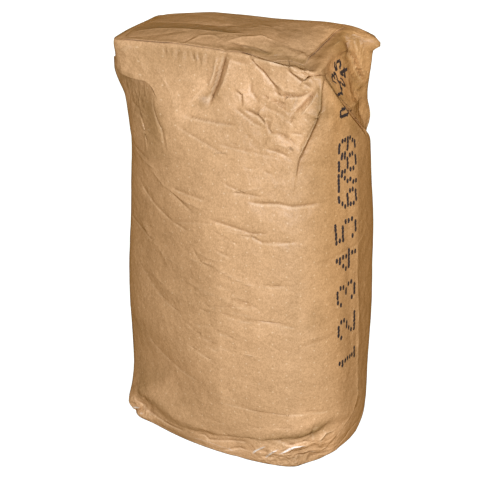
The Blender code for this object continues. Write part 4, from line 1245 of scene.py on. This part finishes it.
def kraft_finish(name, tint=1.0):
    """Creased brown kraft paper: fibres, clouds, rows of pinholes, sharp folds, crumpling, a low sheen, and
    painted light, shade and glints.
    """
    f = Finish(name)
    place = f.place()
    fibres = f.noise(f.stretched(place, FIBRES), 1.0, 2.0, 0.7)
    mottles = f.noise(place, MOTTLES, 3.0, 0.6)
    clouds = f.noise(place, CLOUDS, 4.0, 0.55)
    shade = (clouds.between(0.3, 0.7) * CLOUD_TONE + mottles.between(0.32, 0.68) * MOTTLE_TONE
             + fibres.between(0.35, 0.65) * FIBRE_TONE)
    paper = f.mixed(shade, [c * tint for c in KRAFT_DARK], [c * tint for c in KRAFT_LIGHT])

    # A valley has a thin line of painted shade, a painted highlight below it and painted shade above it,
    # and a ridge is pale, partly rubbed and partly a painted highlight
    away, ridge, side = f.attribute("fold_line", "Vector").parts()
    valley = 0.0 - ridge
    thin = (away * -1.3).exponential()
    below = ((away * side + 2.0) ** 2.0 * -0.5).exponential()
    above = ((away * side - 1.4) ** 2.0 * -0.6).exponential()
    marks = ((valley, 0.3, 1.5, thin, 0.8, CREASE_SHADE), (valley, 0.2, 2.0, below, 0.5, KRAFT_PALE_AND_HIGHLIGHT),
             (valley, 0.2, 2.0, above, 0.25, KRAFT_DARK), (ridge, 0.45, 2.2, thin, 0.8, KRAFT_PALE_AND_HIGHLIGHT))
    for fold, faint, strong, near, share, colour in marks:
        paper = f.mixed(fold.between(faint, strong) * near * share, paper, colour)
    paper = f.mixed(pinholes(f.attribute("sheet_place", "Vector")) * PINHOLE_SHARE, paper, KRAFT_PALE_AND_HIGHLIGHT)
    # painted glints on the folds of the base, where the paper is also glossier
    worn = f.attribute("worn").between(0.0, 0.8)
    paper = f.mixed(worn, paper, GLINT_COLOUR)
    # The painted light and shade and the painted warm shade multiply the paper's colour
    tone, warmth = f.attribute("tone"), f.attribute("warmth")
    light = [(tone * light_and_shade_part + 1.0) * (warmth * warm_shade_part + 1.0)
             for light_and_shade_part, warm_shade_part in zip(LIGHT_AND_SHADE_FOLLOWS, WARM_SHADE_FOLLOWS)]
    paper = f.mixed(1.0, paper, f.node("ShaderNodeCombineXYZ", {}, *light), "MULTIPLY")

    sharp = (away * -0.75).exponential()
    large = f.cells(place, LARGE_FACETS, (0.6, 0.3, 0.5))
    small = f.cells(place, SMALL_FACETS, (-0.4, 0.7, 0.2))
    facets = f.attribute("crumple") * (large * LARGE_FACET_RELIEF + small * SMALL_FACET_RELIEF)
    ripples = f.noise(place, RIPPLES, 3.0, 0.5)
    relief = ridge * sharp * FOLD_RELIEF + facets + ripples * RIPPLE_RELIEF
    relief = relief + fibres * FIBRE_RELIEF + mottles * MOTTLE_RELIEF
    f.surface(Base_Color=paper, Roughness=KRAFT_ROUGHNESS - 0.10 * clouds - 0.1 * worn, Normal=f.bump(relief),
              Specular_IOR_Level=KRAFT_SPECULAR)
    return f.material


def pinholes(sheet):
    """1 at the pinholes that let the air out, in staggered rows; sheet is the place on the flat paper."""
    x, y, _ = sheet.parts()
    row = (y / PINHOLE_ROWS).whole("FLOOR")
    across = x / PINHOLE_COLUMNS + 0.5 * row
    dx = (across - across.whole("ROUND")) * PINHOLE_COLUMNS
    dy = (y / PINHOLE_ROWS - row - 0.5) * PINHOLE_ROWS
    distance = (dx ** 2.0 + dy ** 2.0) ** 0.5
    return 1 - distance.between(PINHOLE_SIZE * 0.3, PINHOLE_SIZE * 0.7)


def ink_finish():
    """Thin black stamping ink, which lets some of the paper through."""
    f = Finish("stamping_ink")
    worn = f.noise(f.place(), INK_SPECKS, 2.0, 0.6).between(0.45, 0.75)
    f.surface(Base_Color=f.mixed(worn, INK_BLACK, INK_THIN), Roughness=0.6)
    return f.material


def sand_finish():
    """Pale dry quartz sand: grains of mixed tone."""
    f = Finish("quartz_sand")
    grains = f.noise(f.place(), SAND_GRAINS, 2.0, 0.7)
    colour = f.mixed(grains.between(0.3, 0.7), SAND_AMBER_GRAIN, SAND_CLEAR_GRAIN)
    f.surface(Base_Color=colour, Roughness=0.8, Normal=f.bump(grains, SAND_RELIEF))
    return f.material


def aim(thing, azimuth, elevation, distance):
    """Puts a camera or a light into the scene, turned towards the sack."""
    away = look_from(azimuth, elevation)
    thing.location = CAMERA_TARGET + away * distance
    thing.rotation_euler = away.to_track_quat("Z", "Y").to_euler()
    bpy.context.scene.collection.objects.link(thing)


def add_camera():
    data = bpy.data.cameras.new("camera")
    data.sensor_width = SENSOR_WIDTH
    data.lens = FOCAL_PIXELS / PHOTO_SIDE * SENSOR_WIDTH
    data.shift_x = -IMAGE_SHIFT[0] / PHOTO_SIDE
    data.shift_y = IMAGE_SHIFT[1] / PHOTO_SIDE
    camera = bpy.data.objects.new("camera", data)
    aim(camera, CAMERA_AZIMUTH, CAMERA_ELEVATION, CAMERA_DISTANCE)
    bpy.context.scene.camera = camera


def add_light(name, azimuth, elevation, distance, size, watts, colour):
    data = bpy.data.lights.new(name, "AREA")
    data.shape = "DISK"
    data.size = size
    data.energy = watts
    data.color = colour
    aim(bpy.data.objects.new(name, data), azimuth, elevation, distance)


def add_stage():
    """A plain pale floor and soft studio light."""
    bpy.ops.mesh.primitive_plane_add(size=FLOOR_SIZE)
    floor = bpy.context.object
    floor.name = "floor"
    paint = Finish("pale_floor")
    paint.surface(Base_Color=FLOOR_COLOUR, Emission_Color=FLOOR_GLOW, Emission_Strength=1.0, Roughness=0.9)
    floor.data.materials.append(paint.material)
    floor.visible_diffuse = False
    floor.visible_glossy = False
    for name, light in LIGHTS.items():
        add_light(name, *light)
    bpy.data.objects["back light"].visible_glossy = False
    world = bpy.data.worlds.new("studio")
    world.use_nodes = True
    background = world.node_tree.nodes["Background"].inputs
    background["Color"].default_value = (*FILL_COLOUR, 1.0)
    background["Strength"].default_value = FILL
    bpy.context.scene.world = world
    bpy.context.scene.view_settings.view_transform = "Standard"


add_camera()
add_stage()
kraft = kraft_finish("creased_kraft_paper")
sack = paper_sack()
sheet = top_cover_sheet(sack)
figures = stamped_figures(sack)
sand = packed_sand(sack)
sack.data.materials.append(kraft)
sheet.data.materials.append(kraft_finish("cover_paper", COVER_TINT))
sand.data.materials.append(sand_finish())
base_sheet = bpy.data.objects["bottom_cover_sheet"]
base_sheet.data.materials.clear()
base_sheet.data.materials.append(kraft)
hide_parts("paper_sack")
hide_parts("top_cover_sheet")
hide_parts("sand_fill")
slots = ((sack, "kraft_paper"), (sheet, "cover_paper"), (figures, "kraft_paper"), (sand, "quartz_sand"))
for piece, slot in slots:
    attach(piece, "root")
